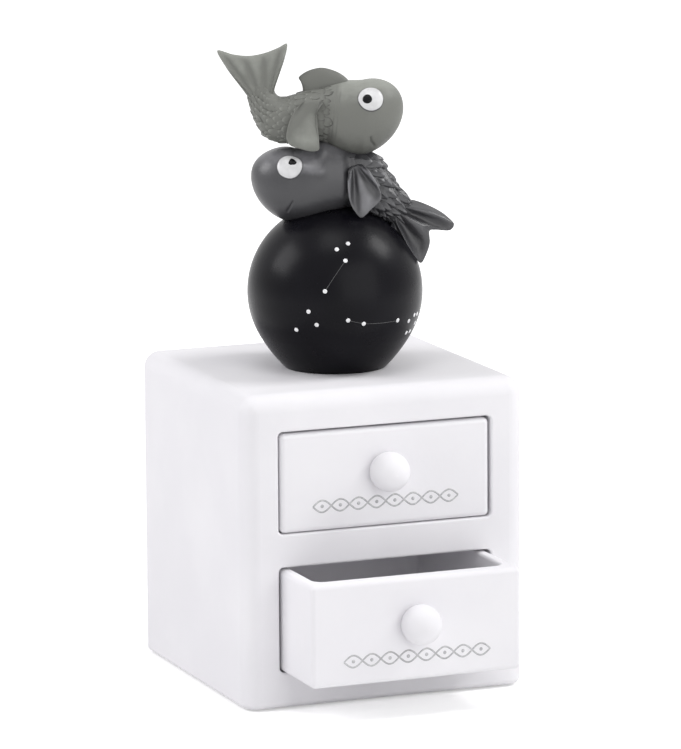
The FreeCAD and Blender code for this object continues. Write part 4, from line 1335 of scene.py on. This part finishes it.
@dataclass(frozen=True)
class FeltPad:
    """Thin pressed felt under the cabinet: soft edges and a matted, uneven face, in millimetres."""

    edge: float = 0.22
    matting: float = 0.03
    cells: int = 72
    # Waves of the matting across, along and aslant, in radians per metre, and the swirl that bends them
    wave_across: float = 1900.0
    wave_along: float = 2300.0
    wave_aslant: float = 700.0
    wave_swirl: float = 1300.0
    swirl: float = 2.0

    def build(self, finish: bpy.types.Material) -> None:
        """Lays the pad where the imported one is."""
        low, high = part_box("felt_pad")
        middle, half = (low + high) / 2, (high - low) / 2
        line = np.sin(np.linspace(-math.pi / 2, math.pi / 2, self.cells + 1))
        across, along = np.meshgrid(line * half.x, line * half.y, indexing="ij")
        inset = np.minimum(half.x - np.abs(across), half.y - np.abs(along)) / (self.edge * MM)
        curl = self.edge * MM * (1.0 - np.sqrt(1.0 - (1.0 - np.clip(inset, 0.0, 1.0)) ** 2))
        bent = across * self.wave_across + self.swirl * np.sin(along * self.wave_swirl)
        lumps = np.sin(bent) * np.sin(along * self.wave_along + across * self.wave_aslant)
        # The matting has its full height from three edge widths inside the rim.
        worn = self.matting * MM * (0.5 + 0.5 * lumps) * np.clip(inset / 3.0, 0.0, 1.0)
        sheets = [np.stack([across + middle.x, along + middle.y, level], -1)
                  for level in (low.z + curl + worn, high.z - curl)]
        side = self.cells + 1
        border = [row * side for row in range(side)]
        border += [self.cells * side + column for column in range(1, side)]
        border += [row * side + self.cells for row in range(self.cells - 1, -1, -1)]
        border += list(range(self.cells - 1, -1, -1))
        points = np.concatenate([sheet.reshape(-1, 3) for sheet in sheets])
        mesh = new_mesh("felt", points, shell_faces(side, side, border))
        pad = add_piece("felt_pad_laid", mesh, finish, Body.CABINET, Slot.FELT, "felt_pad")


# Fish of this object

# Hollow colours serve as painted shade, tip colours as painted highlight and rubbed wear
LIGHT_PAINT = FishPaint("light_fish_paint", hollow=(0.07, 0.071, 0.064), colour=(0.165, 0.169, 0.153),
                        tip=(0.3, 0.31, 0.281))
DARK_PAINT = FishPaint("dark_fish_paint", hollow=(0.028, 0.028, 0.031), colour=(0.05, 0.05, 0.054),
                       tip=(0.19, 0.19, 0.2), roughness=0.36, gloss=0.5)
EYE_PAINT = RingedPaint("eye_paint", colour=(0.7, 0.7, 0.705), rim=(0.05, 0.05, 0.055), start=0.92)
PUPIL_PAINT = RingedPaint("pupil_paint", colour=(0.004, 0.004, 0.005), rim=(0.008, 0.008, 0.009), start=0.9,
                          gloss=0.15)

UPPER_FISH = Fish(
    name="upper_fish", facing=Facing.RIGHT, slot=Slot.LIGHT_FISH, paint=LIGHT_PAINT,
    nose=(13.6, 37.1),
    ribs=(Rib((5.6, 42.8), (5.4, 27.75), 7.0), Rib((2.8, 42.7), (2.6, 28.05), 6.9),
          Rib((0.3, 42.3), (-0.3, 29.1), 6.5), Rib((-2.6, 41.5), (-3.1, 30.5), 5.8),
          Rib((-6.2, 40.6), (-6.9, 30.3), 5.3), Rib((-9.0, 39.6), (-10.5, 30.3), 4.8),
          Rib((-10.8, 39.4), (-13.9, 31.5), 4.2), Rib((-11.8, 39.9), (-16.0, 34.6), 3.5),
          Rib((-12.2, 40.8), (-17.3, 38.0), 2.8), Rib((-12.2, 41.9), (-17.8, 40.6), 2.2),
          Rib((-13.2, 45.0), (-18.0, 44.2), 0.5)),
    gill=Gill(top=(1.0, 40.2), foot=(0.0, 31.5), drop=0.06, softness=0.3,
              lines=((0.0, 0.1, 0.16), (0.85, 0.075, 0.14))),
    mouth=((7.0, 31.2), (7.1, 30.4), (7.7, 29.6)), fullness=2.15, mouth_depth=0.2,
    scales=Scales(rows=17, columns=19, first=0.43, last=0.89, length=3.0, height=0.14, lift=6.0, uneven=0.6,
                  overlap=1.2, tip_highlight_and_wear=0.4),
    tail=Blade(root=((-16.2, 37.6), (-12.3, 39.6)),
               rim=((-17.7, 40.2), (-20.3, 43.4), (-22.0, 45.8), (-23.5, 48.9), (-20.3, 48.1), (-17.1, 47.8),
                    (-13.9, 48.4), (-11.3, 49.4), (-9.6, 50.2), (-10.1, 47.0), (-11.3, 44.1), (-12.2, 41.4)),
               thick_root=4.6, thick_rim=2.0, ribs=8.5, rib_height=0.13, rib_light_and_shade=0.13, narrow=0.4),
    side_fin=Blade(root=((-5.7, 38.9), (-2.9, 38.9)),
                   rim=((-7.0, 38.0), (-8.7, 35.6), (-9.5, 33.4), (-9.8, 31.3), (-9.2, 29.8), (-7.2, 29.0),
                        (-4.6, 28.4), (-3.3, 28.8), (-3.6, 31.2), (-3.9, 33.7), (-3.6, 36.3), (-2.5, 38.1)),
                   thick_root=2.4, thick_rim=1.6, ribs=1.0, rib_height=0.1, out=4.1, splay=2.2, tone=0.52),
    side_fin_names=("upper_fish_right_fin", "upper_fish_left_fin"),
    back_fin=Blade(root=((-6.0, 39.8), (3.2, 41.8)),
                   rim=((-6.5, 40.6), (-6.6, 41.6), (-6.9, 42.5), (-7.3, 43.3), (-6.5, 44.1), (-4.9, 44.9),
                        (-2.7, 45.3), (-0.45, 44.8), (1.5, 43.8), (3.1, 42.3)),
                   thick_root=3.0, thick_rim=1.7, ribs=0.0, rib_height=0.0, tone=0.12),
    eye=Eye(middle=(7.05, 38.95), radius=2.6, pupil=(6.35, 38.9), pupil_radius=0.95, pupil_corners=0.02))

LOWER_FISH = Fish(
    name="lower_fish", facing=Facing.LEFT, slot=Slot.DARK_FISH, paint=DARK_PAINT,
    nose=(-17.0, 24.1),
    ribs=(Rib((-8.2, 29.1), (-9.6, 14.4), 7.5), Rib((-4.4, 30.1), (-5.2, 14.2), 7.4),
          Rib((-1.9, 31.1), (-0.9, 15.6), 6.9), Rib((1.6, 30.0), (1.9, 16.2), 6.3),
          Rib((4.2, 29.2), (3.9, 15.7), 5.6), Rib((6.9, 28.2), (5.9, 15.2), 5.0),
          Rib((9.0, 26.8), (7.7, 14.6), 4.6), Rib((10.8, 24.7), (9.4, 14.0), 4.1),
          Rib((12.8, 22.1), (11.2, 13.6), 3.2), Rib((14.7, 19.7), (12.8, 13.2), 2.4),
          Rib((16.8, 17.4), (14.2, 12.6), 0.6)),
    gill=Gill(top=(1.2, 26.8), foot=(1.0, 16.8), drop=0.9, softness=0.8, lines=((1.2, 0.12, 0.5),), bow=0.7),
    mouth=((-8.6, 18.3), (-9.1, 17.4), (-9.7, 16.4)), fullness=2.2, mouth_depth=0.15, brow=0.38,
    cheek=((-6.6, 25.2), (-4.8, 24.6), (-3.2, 24.4)),
    scales=Scales(rows=9, columns=13, first=0.6, last=0.94, length=4.6, height=0.5, lift=13.0, uneven=0.7,
                  overlap=1.15, fade_out=0.35, point=0.5, keel=0.6, tone=0.38, tip_highlight_and_wear=0.66, painted_shade=0.6),
    tail=Blade(root=((12.6, 18.6), (11.2, 14.6)),
               rim=((15.6, 18.1), (17.5, 17.5), (20.7, 16.0), (22.6, 14.6), (23.7, 13.3), (23.0, 12.2),
                    (20.0, 12.3), (18.8, 12.2), (18.8, 9.8), (18.1, 7.6), (17.0, 5.8), (16.1, 6.5),
                    (13.9, 9.9), (11.8, 12.4), (11.0, 13.5)),
               thick_root=3.6, thick_rim=1.9, ribs=3.4, rib_height=0.7, sway=5.0, tone=0.26, rib_light_and_shade=0.4),
    side_fin=Blade(root=((3.0, 25.4), (4.7, 25.8)),
                   rim=((2.5, 24.5), (2.3, 21.5), (2.7, 18.4), (3.7, 16.3), (5.0, 15.0), (6.9, 16.6),
                        (8.8, 18.5), (9.0, 19.6), (8.2, 21.9), (6.6, 24.5), (5.3, 25.8)),
                   thick_root=2.2, thick_rim=1.5, ribs=3.0, rib_height=0.36, out=4.2, splay=2.8),
    side_fin_names=("lower_fish_left_fin", "lower_fish_right_fin"),
    back_fin=None,
    eye=Eye(middle=(-9.2, 25.45), radius=2.62, pupil=(-8.65, 26.35), pupil_radius=0.76, pupil_corners=0.14))

NIGHT_SKY = NightSky(
    stars=((2.65, 9.2), (0.4, 8.05), (2.1, 5.8), (-2.0, -0.25), (-5.3, -4.25), (-7.75, -7.85),
           (-3.7, -6.9), (2.55, -6.05), (5.65, -6.75), (12.45, -6.15), (14.7, -6.3), (15.85, -5.1),
           (16.4, -4.9), (15.95, -6.7), (14.2, -8.65), (14.9, -8.35)),
    joined=((2, 3), (7, 8), (8, 9)))


# Studio

def toward(bearing: float, height: float) -> Vector:
    """Direction from the object to a bearing, counted from its front, and a height, in degrees."""
    turn, rise = math.radians(bearing), math.radians(height)
    return Vector((math.sin(turn) * math.cos(rise), -math.cos(turn) * math.cos(rise), math.sin(rise)))


@dataclass(frozen=True)
class Softbox:
    """One square area lamp that looks at the object, placed by bearing and height in degrees."""

    name: str
    bearing: float
    height: float
    distance: float
    side: float
    power: float
    colour: Colour = (1.0, 1.0, 1.0)

    def build(self, target: Vector) -> None:
        """Hangs the lamp."""
        data = bpy.data.lights.new(self.name, "AREA")
        data.size = self.side
        data.energy = self.power
        data.color = self.colour
        lamp = link_new(self.name, data)
        back = toward(self.bearing, self.height)
        lamp.location = target + back * self.distance
        lamp.rotation_mode = "QUATERNION"
        lamp.rotation_quaternion = (-back).to_track_quat("-Z", "Y")


@dataclass(frozen=True)
class Studio:
    """Camera at the photograph's viewing angle, pale floor and soft light."""

    azimuth: float = -21.601
    elevation: float = 10.2
    roll: float = -0.424
    distance: float = 1.098706
    target: Tuple[float, float, float] = (0.0, 0.0, 0.0654)
    focal_pixels: float = 5431.979
    centre_x: float = 329.0
    centre_y: float = 352.684
    sensor: float = 36.0
    floor_side: float = 12.0
    floor_grey: float = 0.88
    # What the camera sees of the floor beyond its own light: little round the object, all far away
    near_glow: float = 0.4
    far_glow: float = 0.7
    glow_start: float = 0.1
    glow_end: float = 0.5
    ambient: float = 0.4
    ambient_colour: Colour = (0.99, 0.985, 1.0)
    lamps: Tuple[Softbox, ...] = (
        Softbox("front_box", bearing=12.0, height=17.0, distance=1.3, side=1.2, power=6.9),
        Softbox("left_box", bearing=-108.0, height=34.0, distance=0.9, side=0.45, power=3.6,
                colour=(0.985, 0.98, 1.0)),
        Softbox("right_box", bearing=76.0, height=44.0, distance=0.9, side=0.3, power=3.2),
        Softbox("top_box", bearing=-30.0, height=76.0, distance=0.9, side=0.4, power=1.4))

    def add_camera(self) -> None:
        """Sets up the camera that was fitted to the cabinet's edges."""
        turn = math.radians(self.azimuth)
        back = toward(self.azimuth, self.elevation)
        right = Vector((math.cos(turn), math.sin(turn), 0.0))
        up = right.cross(-back)
        data = bpy.data.cameras.new("photo_camera")
        longest = max(PHOTO_WIDTH, PHOTO_HEIGHT)
        data.sensor_width = self.sensor
        data.lens = self.focal_pixels * self.sensor / longest
        data.shift_x = (PHOTO_WIDTH / 2 - self.centre_x) / longest
        data.shift_y = -(PHOTO_HEIGHT / 2 - self.centre_y) / longest
        camera = link_new("photo_camera", data)
        basis = Matrix((right, up, back)).transposed()
        spin = Matrix.Rotation(math.radians(self.roll), 3, "Z")
        place = Matrix.Translation(Vector(self.target) + back * self.distance)
        camera.matrix_world = place @ (basis @ spin).to_4x4()
        bpy.context.scene.camera = camera

    def add_floor(self) -> None:
        """Lays the pale floor, white to the camera but for the object's shadow."""
        half = self.floor_side / 2
        corners = [(-half, -half, 0.0), (half, -half, 0.0), (half, half, 0.0), (-half, half, 0.0)]
        mesh = bpy.data.meshes.new("floor")
        mesh.from_pydata(corners, [], [(0, 1, 2, 3)])
        floor = link_new("floor", mesh)
        tree = ShaderTree("pale_floor")
        seen = self.seen_rays(tree)
        plain = tree.node("ShaderNodeBsdfDiffuse", None, {"Color": (*[self.floor_grey] * 3, 1.0)})
        reach = tree.node("ShaderNodeVectorMath", {"operation": "LENGTH"}, {0: tree.place}, "Value")
        far = reach.ramp(self.glow_start, self.glow_end)
        white = tree.mix(far, (self.near_glow,) * 3, (self.far_glow,) * 3)
        glow = tree.node("ShaderNodeEmission", None, {"Color": white, "Strength": 1.0})
        bright = tree.node("ShaderNodeAddShader", None, {0: plain, 1: glow})
        either = tree.node("ShaderNodeMixShader", None, {0: seen, 1: plain, 2: bright})
        tree.node("ShaderNodeOutputMaterial", None, {"Surface": either})
        mesh.materials.append(tree.material)

    @staticmethod
    def seen_rays(tree: Tree) -> Sock:
        """Gives 1 for rays that show the background: seen straight, in gloss or through glass."""
        path = "ShaderNodeLightPath"
        seen = tree.node(path, output="Is Camera Ray").at_least(tree.node(path, output="Is Glossy Ray"))
        return seen.at_least(tree.node(path, output="Is Transmission Ray"))

    def add_world(self) -> None:
        """Fills the room with even light; the background itself is white."""
        world = bpy.data.worlds.new("studio")
        world.use_nodes = True
        bpy.context.scene.world = world
        tree = Tree(world.node_tree)
        white = tree.node("ShaderNodeBackground", None, {"Color": (1.0, 1.0, 1.0, 1.0), "Strength": 1.0})
        fill = tree.node("ShaderNodeBackground", None,
                         {"Color": (*self.ambient_colour, 1.0), "Strength": self.ambient})
        either = tree.node("ShaderNodeMixShader", None, {0: self.seen_rays(tree), 1: fill, 2: white})
        tree.node("ShaderNodeOutputWorld", None, {"Surface": either})

    def build(self) -> None:
        """Sets up camera, floor, world and lamps."""
        bpy.context.scene.view_settings.view_transform = "Standard"
        self.add_camera()
        self.add_floor()
        self.add_world()
        for lamp in self.lamps:
            lamp.build(Vector(self.target))


def main() -> None:
    """Dresses every piece in order."""
    logging.basicConfig(level=logging.INFO, format="%(message)s")
    white = CastPaint().material()
    for node in ("cabinet", "upper_drawer", "upper_drawer_knob", "lower_drawer", "lower_drawer_knob"):
        finish_node(node, white)
    finish_node("globe", NightPaint().material())
    FeltPad().build(FeltFinish().material())
    band = BrushedPaint("band_paint", colour=(0.4, 0.4, 0.41), thin=(0.55, 0.55, 0.56)).material()
    for node, body in (("upper_drawer", Body.UPPER_DRAWER), ("lower_drawer", Body.LOWER_DRAWER)):
        WaveBand().build(node, body, band)
    figure = Figure.on_globe()
    NIGHT_SKY.build(figure)
    eye_white = EYE_PAINT.material()
    pupil_black = PUPIL_PAINT.material()
    for fish in (LOWER_FISH, UPPER_FISH):
        fish.build(figure, eye_white, pupil_black)
    Studio().build()


if __name__ == "__main__":
    main()
